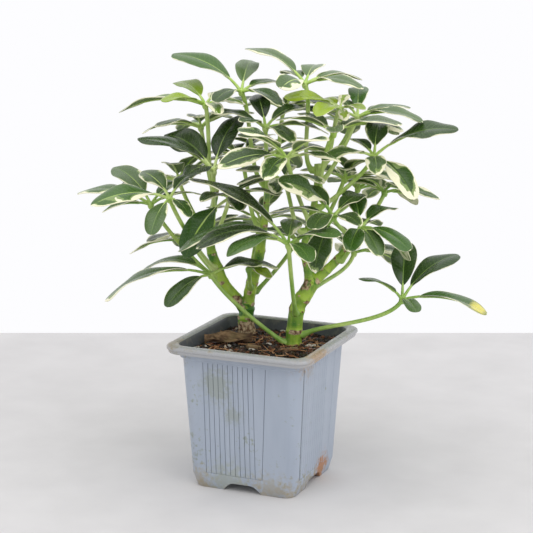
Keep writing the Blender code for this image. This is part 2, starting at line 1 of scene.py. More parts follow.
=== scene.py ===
# %% [markdown]
# # A potted umbrella plant
# Two cuttings of a variegated umbrella plant stand in a square grey nursery pot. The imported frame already
# holds every piece at its real size. This lesson dresses each piece: the pot gets its grooves, the soil
# its crumbs, the stems their leaf scars, and each leaf its folded, cream-edged blades.

# %% load the frame
import math
import random
from functools import partial

import bmesh
import bpy
from mathutils import Matrix, Vector, kdtree, noise


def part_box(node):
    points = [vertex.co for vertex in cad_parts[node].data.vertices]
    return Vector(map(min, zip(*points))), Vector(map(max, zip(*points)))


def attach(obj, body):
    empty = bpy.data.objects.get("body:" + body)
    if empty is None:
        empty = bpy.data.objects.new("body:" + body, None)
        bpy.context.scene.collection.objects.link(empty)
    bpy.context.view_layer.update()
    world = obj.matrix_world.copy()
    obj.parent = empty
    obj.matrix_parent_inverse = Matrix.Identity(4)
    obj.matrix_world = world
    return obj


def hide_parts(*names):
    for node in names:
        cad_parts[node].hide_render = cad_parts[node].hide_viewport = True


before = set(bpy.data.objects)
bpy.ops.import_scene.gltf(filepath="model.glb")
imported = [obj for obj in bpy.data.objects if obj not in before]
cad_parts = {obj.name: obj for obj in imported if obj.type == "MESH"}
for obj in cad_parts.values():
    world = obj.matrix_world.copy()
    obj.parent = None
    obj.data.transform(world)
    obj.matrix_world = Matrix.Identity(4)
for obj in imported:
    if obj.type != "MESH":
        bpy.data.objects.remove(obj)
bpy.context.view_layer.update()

print("pieces in the frame:", len(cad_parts))

# %% [markdown]
# ## Units, colours and one helper for nodes
# Every shape is drawn in millimetres, because that is how a grower would measure a pot, and goes to metres
# when it is finished. The plant was planted askew, so its shapes are drawn in its own axes, across, away
# and up, and turned with it. A colour is written as it looks on a screen and turned to linear light.
# A node's sockets are given by name, or in order: a Map Range takes the value, the range that it is read
# from and the range that it goes to, and a colour Mix takes its share at 0 and its two colours at 6 and 7.
# A pattern's scale comes from the real size of its grain.

# %% units and colours
MM = 0.001
PLANT_TURN = math.radians(23.5)
IN_POT = Matrix.Scale(MM, 4)
IN_PLANT = Matrix.Rotation(PLANT_TURN, 4, "Z") @ Matrix.Scale(MM, 4)


def linear(screen_colour):
    """The linear colour of an sRGB hex value."""
    shares = [int(screen_colour[k:k + 2], 16) / 255 for k in (1, 3, 5)]
    return (*(c / 12.92 if c <= 0.04045 else ((c + 0.055) / 1.055) ** 2.4 for c in shares), 1.0)


def every(size):
    """The scale of a pattern whose grain is so many millimetres wide."""
    return 1 / (size * MM)


# %% nodes and materials
def feed(node, sockets):
    """Give each socket its number, its hex colour, or the output that drives it."""
    for key, value in sockets.items():
        if isinstance(value, bpy.types.NodeSocket):
            node.id_data.links.new(value, node.inputs[key])
        else:
            node.inputs[key].default_value = linear(value) if isinstance(value, str) else value


def add_node(tree, kind, sockets=(), out=0, **settings):
    """Add a node with its settings and sockets, and return one of its outputs."""
    node = tree.nodes.new("ShaderNode" + kind)
    for name, value in settings.items():
        setattr(node, name, value)
    feed(node, sockets if isinstance(sockets, dict) else dict(enumerate(sockets)))
    return node.outputs[out]


def new_material(name):
    """A material, the node helper for its tree, and its shader."""
    material = bpy.data.materials.new(name)
    material.use_nodes = True
    tree = material.node_tree
    return material, partial(add_node, tree), tree.nodes["Principled BSDF"]


# %% [markdown]
# ## Handing a shape over to the frame
# A finished shape becomes an object that sits at the origin with its place in its mesh. It rides on the
# root body, takes its materials, and hides the plain solids that it replaces.

# %% make an object, and finish a piece
def scene_object(name, bm, place=None, materials=()):
    """An object of a shape, in the scene."""
    if place:
        bm.transform(place)
    mesh = bpy.data.meshes.new(name)
    bm.to_mesh(mesh)
    bm.free()
    for material in materials:
        mesh.materials.append(material)
    made = bpy.data.objects.new(name, mesh)
    bpy.context.scene.collection.objects.link(made)
    return made


def finish_piece(name, bm, place, materials, replaced=(), sharp=60):
    """Hand over a finished shape; edges sharper than the angle stay crisp."""
    piece = scene_object(name, bm, place, materials)
    piece.data.shade_smooth()
    piece.data.set_sharp_from_angle(angle=math.radians(sharp))
    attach(piece, "root")
    if replaced:
        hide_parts(*replaced)
    return piece


# %% [markdown]
# ## The camera
# A long lens stands a metre away and a little above the rim, turned so that it looks straight along the
# plant's own axes and sees the pot over its front right corner.

# %% the camera
VIEW_TURN, VIEW_RISE = math.radians(23.46), math.radians(12.57)
LENS, SENSOR = 114.7, 36.0
AIM_ASIDE, AIM_HEIGHT = 1.6, 129.8
back = Vector((math.sin(VIEW_TURN) * math.cos(VIEW_RISE), -math.cos(VIEW_TURN) * math.cos(VIEW_RISE),
               math.sin(VIEW_RISE)))
aim = Vector((AIM_ASIDE * math.cos(VIEW_TURN), AIM_ASIDE * math.sin(VIEW_TURN), AIM_HEIGHT)) * MM
camera = bpy.data.objects.new("camera", bpy.data.cameras.new("camera"))
camera.data.lens = LENS
camera.data.sensor_width = SENSOR
camera.location = aim + back
camera.rotation_euler = back.to_track_quat("Z", "Y").to_euler()
bpy.context.scene.collection.objects.link(camera)
bpy.context.scene.camera = camera
print("camera stands at", [round(x, 3) for x in camera.location])

# %% [markdown]
# ## The pot
# The real pot is one thin sheet of plastic drawn down into a mould. Its outline is a square with round
# corners at every height, so one outline is carried up the outside, out under the lip, over it and down
# the inside. Extruding the same ring of edges keeps the wall whole, and each step only needs a half
# width and a height.

# %% one rounded square, carried through its heights
FOOT_HALF, FOOT_CORNER = 31.2, 6.4
POT_WALL = (  # half width and height, from the foot up the outside, over the lip and down the inside
    (31.6, 0.4), (33.6, 8.0), (37.8, 78.6), (38.3, 79.3), (39.2, 80.0), (39.5, 80.9), (39.6, 86.2),
    (43.3, 86.2), (43.5, 83.6), (43.9, 83.1), (44.3, 83.2), (44.55, 83.8), (44.6, 84.8), (45.1, 85.2),
    (45.4, 85.8), (45.4, 86.6), (45.1, 87.3), (44.4, 87.8), (43.4, 88.0), (41.4, 88.0), (40.3, 87.8),
    (39.7, 87.3), (39.3, 86.4), (38.9, 84.5), (36.7, 78.0), (33.0, 9.0), (31.0, 7.4))


def extrude_ring(bm, edges):
    """Extrude a ring of edges, and return the new ring's corners and edges."""
    grown = bmesh.ops.extrude_edge_only(bm, edges=edges)["geom"]
    return ([part for part in grown if isinstance(part, bmesh.types.BMVert)],
            [part for part in grown if isinstance(part, bmesh.types.BMEdge) and part.is_boundary])


def carry_ring(bm, edges, steps, half, height):
    """Extrude a ring of edges through steps of half width and height, and return the last ring."""
    for next_half, next_height in steps:
        verts, edges = extrude_ring(bm, edges)
        bmesh.ops.scale(bm, verts=verts, vec=(next_half / half, next_half / half, 1.0))
        bmesh.ops.translate(bm, verts=verts, vec=(0, 0, next_height - height))
        half, height = next_half, next_height
    return edges


pot = bmesh.new()
bmesh.ops.create_grid(pot, x_segments=1, y_segments=1, size=FOOT_HALF)
bmesh.ops.bevel(pot, geom=pot.verts[:], offset=FOOT_CORNER, segments=8, profile=0.5,
                affect="VERTICES", material=-1)
last_ring = carry_ring(pot, pot.edges[:], POT_WALL, FOOT_HALF, 0.0)
bmesh.ops.edgeloop_fill(pot, edges=last_ring)
bmesh.ops.recalc_face_normals(pot, faces=pot.faces)
print("pot walls:", len(pot.faces), "faces,", max(height for _, height in POT_WALL), "mm high")

# %% [markdown]
# ## Grooves in the pot's panels
# Each side has a panel of fine upright grooves, a plain strip beside them, and a border. They are half a
# millimetre wide and catch shadow, so they are real geometry: two cuts mark a groove's sides, a third its
# bottom, and the bottom is pushed in. That bottom is also given painted shade, which the pot's material
# turns darker. A cut only touches the flat faces of the side that it belongs to.

# %% cut the grooves
GROOVE_HALF, GROOVE_DEPTH, GROOVE_SPACING = 0.28, 0.42, 3.15
WIDE_GROOVE_HALF, CORNER_LEAN = 0.95, 2.9
PANEL_FOOT, PANEL_TOP = 10.0, 78.2
WALL_FOOT, WALL_TOP = 7.9, 78.7
WALL_FRONT = -33.0            # the outside of the front wall lies before this
PANEL_FOOT_FRONT = -33.7      # where that wall is at the panel's foot
# per side, turned to the front: where the panel starts, how many grooves, and its far border top and foot
PANELS = ((0, -22.3, 11, 17.4, 13.5), (90, -27.2, 12, 20.5, 18.5), (180, -22.3, 11, 17.4, 13.5),
          (270, -27.2, 12, 20.5, 18.5))


def turn_about_z(bm, degrees):
    bmesh.ops.rotate(bm, verts=bm.verts, matrix=Matrix.Rotation(math.radians(degrees), 3, "Z"))


def front_parts(bm):
    """The flat front wall of the pot, as faces with their edges and corners."""
    middles = [(face, face.calc_center_median()) for face in bm.faces if face.normal.y < -0.99]
    faces = [face for face, middle in middles if WALL_FOOT < middle.z < WALL_TOP and middle.y < WALL_FRONT]
    edges = {edge for face in faces for edge in face.edges}
    verts = {vert for face in faces for vert in face.verts}
    return [*faces, *edges, *verts]


def cut_front(bm, point, normal):
    bm.normal_update()
    bmesh.ops.bisect_plane(bm, geom=front_parts(bm), plane_co=point, plane_no=normal, dist=1e-4)


def groove(bm, at_top, at_foot, half=GROOVE_HALF, shade=0.5):
    """One upright groove on the front wall; its bottom is pushed in, with painted shade, between the panel's
    ends.
    """
    lean = (at_top - at_foot) / (PANEL_TOP - PANEL_FOOT)
    for offset in (-half, 0.0, half):
        cut_front(bm, (at_foot + offset, 0, PANEL_FOOT), (1, 0, -lean))
    for vert in bm.verts:
        height = vert.co.z - PANEL_FOOT
        on_line = abs(vert.co.x - at_foot - lean * height) < 1e-3
        if on_line and vert.co.y < WALL_FRONT and -0.1 < height < PANEL_TOP - PANEL_FOOT + 0.1:
            vert.co.y += GROOVE_DEPTH
            vert[painted_groove_shade] = shade


# the groove layer holds the painted shade of each groove's bottom
painted_groove_shade = pot.verts.layers.float.new("groove")
for turn, start, count, far_top, far_foot in PANELS:
    turn_about_z(pot, -turn)
    for height in (PANEL_FOOT - GROOVE_HALF, PANEL_FOOT, PANEL_FOOT + GROOVE_HALF, PANEL_TOP):
        cut_front(pot, (0, 0, height), (0, 0, 1))
    on_side = turn % 180 == 90
    if on_side:  # the first groove of a side wall is wide, and leans with the pot's corner
        # it takes the full painted shade, so it reads as the darkest line
        groove(pot, start - 1.0, start - 1.0 + CORNER_LEAN, WIDE_GROOVE_HALF, 1.0)
    for index in range(on_side, count):
        groove(pot, start + GROOVE_SPACING * index, start + GROOVE_SPACING * index)
    groove(pot, far_top, far_foot)
    for vert in pot.verts:
        on_foot = start < vert.co.x < far_foot and abs(vert.co.z - PANEL_FOOT) < 1e-3
        if on_foot and abs(vert.co.y - PANEL_FOOT_FRONT) < 0.2:
            vert.co.y += GROOVE_DEPTH
    turn_about_z(pot, turn)
print("pot with grooves:", len(pot.faces), "faces")

# %% [markdown]
# ## Arches under the pot
# A low arch in the middle of each side lets water run out from underneath. A block with sloping sides is
# shaped once, rounded along its length, and taken away from each side with a Boolean. The result is kept
# as a plain mesh so that no cutter stays in the scene.

# %% cut the arches
ARCH_FOOT, ARCH_TOP, ARCH_HEIGHT, ARCH_DEPTH = 28.0, 15.0, 5.0, 13.0
ARCH_BELOW, ARCH_OUTSIDE = -1.5, -45.0


def baked(made, others=()):
    """The object's mesh with its modifiers applied, as a bmesh; the passing objects are removed."""
    bpy.context.view_layer.update()
    evaluated = made.evaluated_get(bpy.context.evaluated_depsgraph_get())
    bm = bmesh.new()
    bm.from_mesh(evaluated.to_mesh())
    evaluated.to_mesh_clear()
    for passing in (made, *others):
        bpy.data.objects.remove(passing)
    return bm


def arch_block():
    """The space under one arch, running out past the wall and down past the floor."""
    bm = bmesh.new()
    bmesh.ops.create_cube(bm, size=1.0)
    for vert in bm.verts:
        top = vert.co.z > 0
        vert.co.x *= ARCH_TOP if top else ARCH_FOOT
        vert.co.y = -FOOT_HALF + ARCH_DEPTH if vert.co.y > 0 else ARCH_OUTSIDE
        vert.co.z = ARCH_HEIGHT if top else ARCH_BELOW
    long_edges = [e for e in bm.edges if abs(e.verts[0].co.y - e.verts[1].co.y) > 1 and e.verts[0].co.z > 0]
    bmesh.ops.bevel(bm, geom=long_edges, offset=2.5, segments=4, profile=0.5, affect="EDGES", material=-1)
    bmesh.ops.recalc_face_normals(bm, faces=bm.faces)
    return bm


pot_shell = scene_object("pot_shell", pot)
arches = []
for side in range(4):
    arch = scene_object(f"arch_{side}", arch_block(), Matrix.Rotation(math.radians(90 * side), 4, "Z"))
    cut = pot_shell.modifiers.new(arch.name, "BOOLEAN")
    cut.object = arch
    cut.operation = "DIFFERENCE"
    arches.append(arch)
pot = baked(pot_shell, arches)
print("pot with arches:", len(pot.faces), "faces")

# %% [markdown]
# ## Moulded plastic with potting dirt
# The pot is recycled polypropylene, grey-blue outside and dark grey inside. It is smooth with a soft
# sheen, and it has stood on a nursery bench: tan scuffs lie on the lip, algae sits in the grooves, and mud
# has dried on its feet. Dirt is noise, held back by height, and each larger stain is noise held back by
# how far it is from the stain's middle. The bottoms of the grooves are painted darker: painted shade.

# %% the pot's materials
# middle, reach, colour and strength: rust at an arch, algae in the grooves, tan on the lip, mud at the feet
STAINS = (
    ((33.5, 10.0, 7.0), 15.0, "#ad774a", 0.9), ((-13.0, -37.0, 65.0), 17.0, "#858a60", 0.4),
    ((-4.0, -36.0, 48.0), 10.0, "#868a62", 0.35), ((43.0, -24.0, 87.0), 22.0, "#a98a60", 0.8),
    ((-43.0, -34.0, 87.0), 18.0, "#a08d70", 0.6), ((-8.0, -33.0, 3.0), 26.0, "#9ea28c", 0.5),
    ((20.0, -33.0, 2.0), 20.0, "#a79c80", 0.5), ((-30.0, -32.0, 4.0), 16.0, "#a89b80", 0.5))
PLASTIC_IOR = 1.49


def pot_plastic():
    """Recycled polypropylene: satin, faintly streaked down the draw, with dirt where hands and mud reach, and
    painted shade in its grooves.
    """
    material, add, shader = new_material("recycled_polypropylene_grey")
    place = add("TexCoord", out="Object")
    height = add("SeparateXYZ", (place,), "Z")
    drawn_down = add("Mapping", {"Vector": place, "Scale": (1.0, 1.0, 0.12)})
    streaks = add("TexNoise", {"Vector": drawn_down, "Scale": every(6.25), "Detail": 3.0})
    clouds = add("TexNoise", {"Vector": place, "Scale": every(22.22), "Detail": 4.0})
    scuffs = add("TexNoise", {"Vector": place, "Scale": every(4.762), "Detail": 6.0, "Roughness": 0.7})
    specks = add("TexNoise", {"Vector": place, "Scale": every(2.381), "Detail": 2.0})

    is_lip = add("MapRange", (height, 81.5 * MM, 83.5 * MM))
    at_foot = add("MapRange", (height, 22.0 * MM, 0.0, 0.0, 0.34))
    at_lip = add("MapRange", (height, 83.5 * MM, 87.5 * MM, 0.0, 0.2))
    soiled = add("Math", (scuffs, add("Math", (at_foot, at_lip), operation="MAXIMUM")), operation="ADD")
    soiled = add("Math", (clouds, 0.55, soiled), operation="MULTIPLY_ADD")
    algae = add("Math", (clouds, specks), operation="MULTIPLY")
    layers = [(is_lip, "#adaeb0"), (add("MapRange", (soiled, 1.0, 1.22, 0.0, 0.75)), "#a3967d"),
              (add("MapRange", (algae, 0.36, 0.46, 0.0, 0.55)), "#7f8560")]
    speckled = add("Math", (specks, 0.6, scuffs), operation="MULTIPLY_ADD")
    for middle, reach, tint, strength in STAINS:
        gap = add("VectorMath", (place, tuple(IN_POT @ Vector(middle))), "Value", operation="DISTANCE")
        near = add("MapRange", (gap, reach * MM, 0.0))
        ragged = add("Math", (near, 0.5, speckled), operation="MULTIPLY_ADD")
        ragged = add("MapRange", (ragged, 0.86, 1.3, 0.0, strength * 2.2))
        near = add("Math", (near, ragged), operation="MULTIPLY")
        layers.append((add("Math", (near, strength), operation="MINIMUM"), tint))
    # painted shade: the bottoms of the grooves are darkened, the first side groove most
    layers.append((add("Attribute", out="Fac", attribute_name="groove"), "#4e545c"))

    colour = add("Mix", {0: streaks, 6: "#9ea8b7", 7: "#b0b9c6"}, 2, data_type="RGBA")
    for share, over in layers:
        colour = add("Mix", {0: share, 6: colour, 7: over}, 2, data_type="RGBA")
    rough = add("MapRange", (soiled, 0.6, 1.2, 0.34, 0.6))
    rough = add("Math", (is_lip, -0.22, rough), operation="MULTIPLY_ADD")
    bump = add("Bump", {"Strength": 0.25, "Distance": 0.3 * MM, "Height": scuffs})
    feed(shader, {"Base Color": colour, "Roughness": rough, "Normal": bump, "IOR": PLASTIC_IOR})
    return material


def pot_inside():
    """The dark inner skin of the same sheet, glossy where clean and dusted with dry potting mix."""
    material, add, shader = new_material("recycled_polypropylene_dark")
    dust = add("TexNoise", {"Vector": add("TexCoord", out="Object"), "Scale": every(3.846), "Detail": 5.0})
    share = add("MapRange", (dust, 0.52, 0.75))
    colour = add("Mix", {0: share, 6: "#55595f", 7: "#7b7771"}, 2, data_type="RGBA")
    rough = add("MapRange", (dust, 0.0, 1.0, 0.18, 0.65))
    feed(shader, {"Base Color": colour, "Roughness": rough, "IOR": PLASTIC_IOR})
    return material


# %% finish the pot
INNER_SKIN_FOOT, INNER_SKIN_TOP, INNER_SKIN_HALF = 7.0, 86.9, 39.6
for face in pot.faces:
    middle = face.calc_center_median()
    inwards = face.normal.x * middle.x + face.normal.y * middle.y < 0
    within = max(abs(middle.x), abs(middle.y)) < INNER_SKIN_HALF
    face.material_index = int(INNER_SKIN_FOOT < middle.z < INNER_SKIN_TOP and inwards and within)
pot_skins = (pot_plastic(), pot_inside())
nursery_pot = finish_piece("nursery_pot", pot, IN_POT, pot_skins, ("pot",), sharp=32)
print(nursery_pot.name, "has", len(STAINS), "stains")

# %% [markdown]
# ## The potting mix
# The pot is filled with dark peat with bark and perlite in it. The bulk is one block whose top is a fine
# grid lifted by noise of three sizes, and its loose crumbs are small rough stones scattered over it. The
# grid's corners are drawn in so that it fits the round corners of the pot.

# %% the bulk of the soil
SOIL_HALF, SOIL_CORNER, SOIL_HEIGHT = 37.3, 7.0, 81.2
SOIL_SIDES = ((36.1, 76.5), (32.7, 7.8))  # half width and height, down the wall
SOIL_CELLS = 130
WALL_DIP, WALL_DIP_WIDTH = 0.9, 2.5


def soil_height(x, y):
    """The height of the mix at a place in the pot: broad rises, lumps and grit, falling off at the wall."""
    rise = 1.0 * noise.noise(Vector((x / 15, y / 15, 3.1)))
    lumps = 1.5 * abs(noise.noise(Vector((x / 3.2, y / 3.2, 7.7))))
    grit = 0.6 * noise.noise(Vector((x / 1.1, y / 1.1, 1.3)))
    to_wall = SOIL_HALF - max(abs(x), abs(y))
    return SOIL_HEIGHT + rise + lumps + grit - WALL_DIP * math.exp(-to_wall / WALL_DIP_WIDTH)


soil = bmesh.new()
bmesh.ops.create_grid(soil, x_segments=SOIL_CELLS, y_segments=SOIL_CELLS, size=SOIL_HALF)
for vert in soil.verts:
    corner = Vector((math.copysign(SOIL_HALF - SOIL_CORNER, vert.co.x),
                     math.copysign(SOIL_HALF - SOIL_CORNER, vert.co.y), 0))
    out = vert.co - corner
    if out.x * corner.x > 0 and out.y * corner.y > 0:
        direction = out.normalized()
        vert.co = corner + out * max(abs(direction.x), abs(direction.y))
    vert.co.z = soil_height(vert.co.x, vert.co.y)
border = [edge for edge in soil.edges if edge.is_boundary]
above = SOIL_HALF
for half, height in SOIL_SIDES:
    skirt, border = extrude_ring(soil, border)
    for vert in skirt:
        vert.co = Vector((vert.co.x * half / above, vert.co.y * half / above, height))
    above = half
bmesh.ops.edgeloop_fill(soil, edges=border)
bmesh.ops.recalc_face_normals(soil, faces=soil.faces)
print("soil block:", len(soil.faces), "faces")

# %% crumbs of bark, peat and perlite
CRUMB_BATCHES, CRUMBS_IN_BATCH = 34, 50
CRUMB_SIZES = (0.4, 0.5, 0.7, 0.9, 1.3, 1.8)
CRUMB_TONES = (0.0, 0.0, 0.1, 0.2, 0.4, 0.6)
PERLITE_SHARE, PERLITE_TONE = 0.05, 1.0
CRUMB_SPREAD = 35
chance = random.Random(11)
soil.verts.layers.float.new("tone")
for _ in range(CRUMB_BATCHES):  # a heap at a time, because adding to a large bmesh is slow
    heap = bmesh.new()
    tone = heap.verts.layers.float.new("tone")
    for index in range(CRUMBS_IN_BATCH):
        x, y = chance.uniform(-CRUMB_SPREAD, CRUMB_SPREAD), chance.uniform(-CRUMB_SPREAD, CRUMB_SPREAD)
        size = chance.choice(CRUMB_SIZES)
        crumb_tone = PERLITE_TONE if chance.random() < PERLITE_SHARE else chance.choice(CRUMB_TONES)
        crumb = bmesh.ops.create_icosphere(heap, subdivisions=1, radius=1.0)["verts"]
        shape = Vector((size * chance.uniform(0.7, 2.0), size * chance.uniform(0.5, 0.9),
                        size * chance.uniform(0.35, 0.7)))
        for vert in crumb:
            vert.co *= chance.uniform(0.75, 1.1)
            vert[tone] = crumb_tone
        bmesh.ops.scale(heap, verts=crumb, vec=shape)
        bmesh.ops.rotate(heap, verts=crumb, matrix=Matrix.Rotation(chance.uniform(-0.6, 0.6), 3, "X")
                         @ Matrix.Rotation(chance.uniform(0, math.tau), 3, "Z"))
        bmesh.ops.translate(heap, verts=crumb, vec=(x, y, soil_height(x, y) + size * 0.15))
    heap_mesh = bpy.data.meshes.new("heap")
    heap.to_mesh(heap_mesh)
    heap.free()
    soil.from_mesh(heap_mesh)
    bpy.data.meshes.remove(heap_mesh)
print("soil with", CRUMB_BATCHES * CRUMBS_IN_BATCH, "crumbs:", len(soil.faces), "faces")

# %% [markdown]
# ## Wet peat
# Damp peat is almost black, with red-brown bark and paler fibre in it. It is rough, but its wet bits
# glint, so the roughness falls in small patches. Crumbs carry a tone of their own, from black peat to
# white perlite.

# %% the soil's material
def damp_peat():
    """Peat and bark fines: dark, broken up at the grain of about 1 mm, with wet glints."""
    material, add, shader = new_material("damp_peat_and_bark")
    place = add("TexCoord", out="Object")
    tone = add("Attribute", out="Fac", attribute_name="tone")
    grain = add("TexNoise", {"Vector": place, "Scale": every(1.111), "Detail": 4.0})
    clods = add("TexNoise", {"Vector": place, "Scale": every(4.167), "Detail": 3.0})
    colour = "#0b0705"
    for share, over in ((add("MapRange", (clods, 0.35, 0.75)), "#33201a"),
                        (add("MapRange", (tone, 0.0, 0.6)), "#7a4a2e"),
                        (add("MapRange", (tone, 0.7, 1.0)), "#cfc8bd")):
        colour = add("Mix", {0: share, 6: colour, 7: over}, 2, data_type="RGBA")
    wet = add("MapRange", (grain, 0.4, 0.62, 0.12, 0.85))
    bump = add("Bump", {"Strength": 0.8, "Distance": 0.5 * MM, "Height": grain})
    feed(shader, {"Base Color": colour, "Roughness": wet, "Normal": bump})
    return material


mix = finish_piece("soil_and_bark", soil, IN_POT, (damp_peat(),), ("soil",), sharp=50)
print(mix.name, "is dressed in", mix.data.materials[0].name)

# %% [markdown]
# ## Round shoots
# Stems, leaf stalks and roots are all round tubes that bend and change in thickness. One circle is
# extruded from point to point and turned square to the route each time, which keeps the tube whole. The
# turn is carried on from the last one, so the tube doesn't twist.

# %% a tube through points
def tube(bm, points, radii, sides=10):
    """A closed tube of changing radius through points."""
    made = bmesh.ops.create_circle(bm, cap_ends=True, radius=1.0, segments=sides)["verts"]
    edges = list({edge for vert in made for edge in vert.link_edges})
    turn = Matrix.Identity(3)
    last = Matrix.Identity(4)
    for index, (point, radius) in enumerate(zip(points, radii)):
        before, after = points[max(index - 1, 0)], points[min(index + 1, len(points) - 1)]
        direction = (after - before).normalized()
        turn = (turn @ Vector((0, 0, 1))).rotation_difference(direction).to_matrix() @ turn
        here = Matrix.Translation(point) @ turn.to_4x4() @ Matrix.Scale(radius, 4)
        if index:
            made, edges = extrude_ring(bm, edges)
        bmesh.ops.transform(bm, matrix=here @ last.inverted(), verts=made)
        last = here
    bmesh.ops.edgeloop_fill(bm, edges=edges)


def smooth_route(points, step):
    """Points about a step apart on a smooth curve through the given points; a radius rides along as w."""
    route = []
    for index in range(len(points) - 1):
        a, b = points[index], points[index + 1]
        before = points[index - 1] if index else a * 2 - b
        after = points[index + 2] if index + 2 < len(points) else b * 2 - a
        count = max(2, round((b.xyz - a.xyz).length / step))
        for k in range(count):
            t = k / count
            route.append(0.5 * (2 * a + (b - before) * t + (2 * before - 5 * a + 4 * b - after) * t * t
                                + (3 * a - before - 3 * b + after) * t ** 3))
    return [*route, points[-1]]


# %% [markdown]
# ## The stems
# Each cutting has a woody foot that forks into green shoots. The shoots are drawn as tubes that overlap
# at the fork, and a voxel remesh melts them into one skin. Where a leaf was or is, the stem swells into
# a ring and keeps a tan scar, so every vertex is told how near it is to a ring, how woody it is and how
# fresh, because the skin is palest just above a ring.

# %% the shoots and their rings
BRANCHES = {  # across, away, height, radius
    "left_foot": ((-10, 27, 68, 5.2), (-10, 27, 80, 5.2), (-11, 27, 90, 5.0), (-10, 27, 99, 4.6)),
    "left_shoot": ((-11, 27, 95, 3.4), (-16, 27, 103, 3.6), (-24, 27, 113, 3.6), (-28, 27, 123, 3.5),
                   (-32, 26, 136, 3.3), (-31, 24, 155, 3.0), (-28, 22, 174, 2.6)),
    "left_leader": ((-10, 27, 95, 3.8), (-8, 27, 110, 3.8), (-3, 27, 130, 3.7), (-1, 26, 142, 3.2),
                    (1, 24, 156, 2.8), (3, 22, 176, 2.3)),
    "right_foot": ((17, 3, 68, 5.2), (18, 3, 88, 5.0), (20, 3, 104, 4.8), (25, 3, 113, 4.8),
                   (29, 3, 120, 4.6)),
    "right_leader": ((28, 3, 117, 3.6), (26, 4, 130, 3.4), (24, 5, 138, 3.3), (26, 5, 150, 3.1),
                     (29, 6, 162, 3.0), (31, 6, 176, 2.7), (31, 6, 190, 2.2)),
    "right_branch": ((28, 3, 118, 3.3), (36, 3, 126, 3.2), (41, 2, 131, 3.0), (48, 0, 140, 2.8),
                     (51, -2, 152, 2.4)),
}
STEMS = {
    "left_stem": ("left_foot", "left_shoot", "left_leader"),
    "right_stem": ("right_foot", "right_leader", "right_branch"),
}
RINGS = {  # heights where a leaf was or is
    "left_foot": (84, 92, 98), "left_shoot": (104, 114, 123, 132, 142, 151, 160, 167, 171),
    "left_leader": (101, 108, 114, 122, 134, 142, 150, 157, 163, 169, 174),
    "right_foot": (82, 90, 103, 110, 119), "right_leader": (121, 131, 140, 149, 158, 165, 171, 177, 182, 187),
    "right_branch": (121, 127, 134, 140, 146, 150),
}
RING_SWELL, RING_WIDTH = 0.09, 1.1
FRESH_LENGTH = 3.2
SLIM_FROM, SLIM_OVER, SLIM_BY = 118, 45, 0.3
VOXEL = 0.42 * MM
BARK_TOP = {"left_stem": 91.0, "right_stem": 81.5}
SCARS = {"left_stem": ((-16.0, 23.5, 102.5), 5.0), "right_stem": ((24.0, -1.0, 119.0), 3.6)}  # place, width
STEM_LAYERS = ("ring", "wood", "fresh")


def nearest_ring(branch, height):
    """How near a height on a branch is to a ring, from 0 to 1."""
    gap = min(abs(height - ring) for ring in RINGS[branch])
    return math.exp(-(gap / RING_WIDTH) ** 2)


def fresh_growth(branch, height):
    """The skin is palest just above a ring: 1 there, fading upwards."""
    gap = min((height - ring for ring in RINGS[branch] if height > ring), default=math.inf)
    return math.exp(-gap / FRESH_LENGTH)


def clamped(value):
    return min(1.0, max(0.0, value))


def shoot(bm, branch):
    """One shoot as a tube, slimmer towards its top, and its route, to find the way along it again."""
    route = smooth_route([Vector(point) for point in BRANCHES[branch]], 1.2)
    radii = []
    for point in route:
        slimness = 1.0 - SLIM_BY * clamped((point.z - SLIM_FROM) / SLIM_OVER)
        radii.append(point.w * slimness * (0.95 + RING_SWELL * nearest_ring(branch, point.z)))
    tube(bm, [point.xyz for point in route], radii, sides=24)
    return [(point.xyz, branch) for point in route]


# %% grow the stems
def smooth_once(bm):
    bmesh.ops.smooth_vert(bm, verts=bm.verts, factor=0.5, use_axis_x=True, use_axis_y=True, use_axis_z=True)


def make_stem(name, material):
    bm = bmesh.new()
    places = [place for branch in STEMS[name] for place in shoot(bm, branch)]
    rough = scene_object(f"{name}_tubes", bm, IN_PLANT)
    remesh = rough.modifiers.new("one skin", "REMESH")
    remesh.mode = "VOXEL"
    remesh.voxel_size = VOXEL
    bm = baked(rough)
    bm.transform(IN_PLANT.inverted())
    smooth_once(bm)

    for layer in STEM_LAYERS:
        bm.verts.layers.float.new(layer)
    ring_layer, wood_layer, fresh_layer = (bm.verts.layers.float[layer] for layer in STEM_LAYERS)
    finder = kdtree.KDTree(len(places))
    for index, (point, _) in enumerate(places):
        finder.insert(point, index)
    finder.balance()
    bm.normal_update()
    scar_middle, scar_width = SCARS[name]
    for vert in bm.verts:
        point, index, _ = finder.find(vert.co)
        branch = places[index][1]
        patchy = noise.noise(vert.co / 2.6)
        part_round = max(0.0, noise.noise(vert.co / 3.4 + Vector((9, 0, 0))) + 0.08)
        scar = min(1.0, nearest_ring(branch, point.z) * (0.18 + 3.4 * part_round))
        old_scar = 1.3 - (vert.co - Vector(scar_middle)).length / scar_width
        wood = max(clamped((BARK_TOP[name] - vert.co.z) / 3.0 + 1.6 * patchy + 0.4),
                   clamped(old_scar + 0.8 * patchy))
        vert[ring_layer], vert[wood_layer] = scar, wood
        vert[fresh_layer] = fresh_growth(branch, point.z)
        bark = abs(noise.noise(vert.co / 1.3)) + 0.25 * noise.noise(vert.co / 0.6)
        fine = 0.1 * noise.noise(vert.co / 2.0)
        vert.co += vert.normal * (fine + wood * (bark - 0.15) + scar * 0.15 * noise.noise(vert.co / 0.7))
    return finish_piece(f"{name}_grown", bm, IN_PLANT, (material,), (name,), sharp=180)


# %% [markdown]
# ## Green bark, scars and old wood
# The stems are young bark over green pith: waxy, banded dark and lime, and freckled. Scars at the rings
# are dry cork, and the foot of the left cutting has turned to crumbly brown wood.

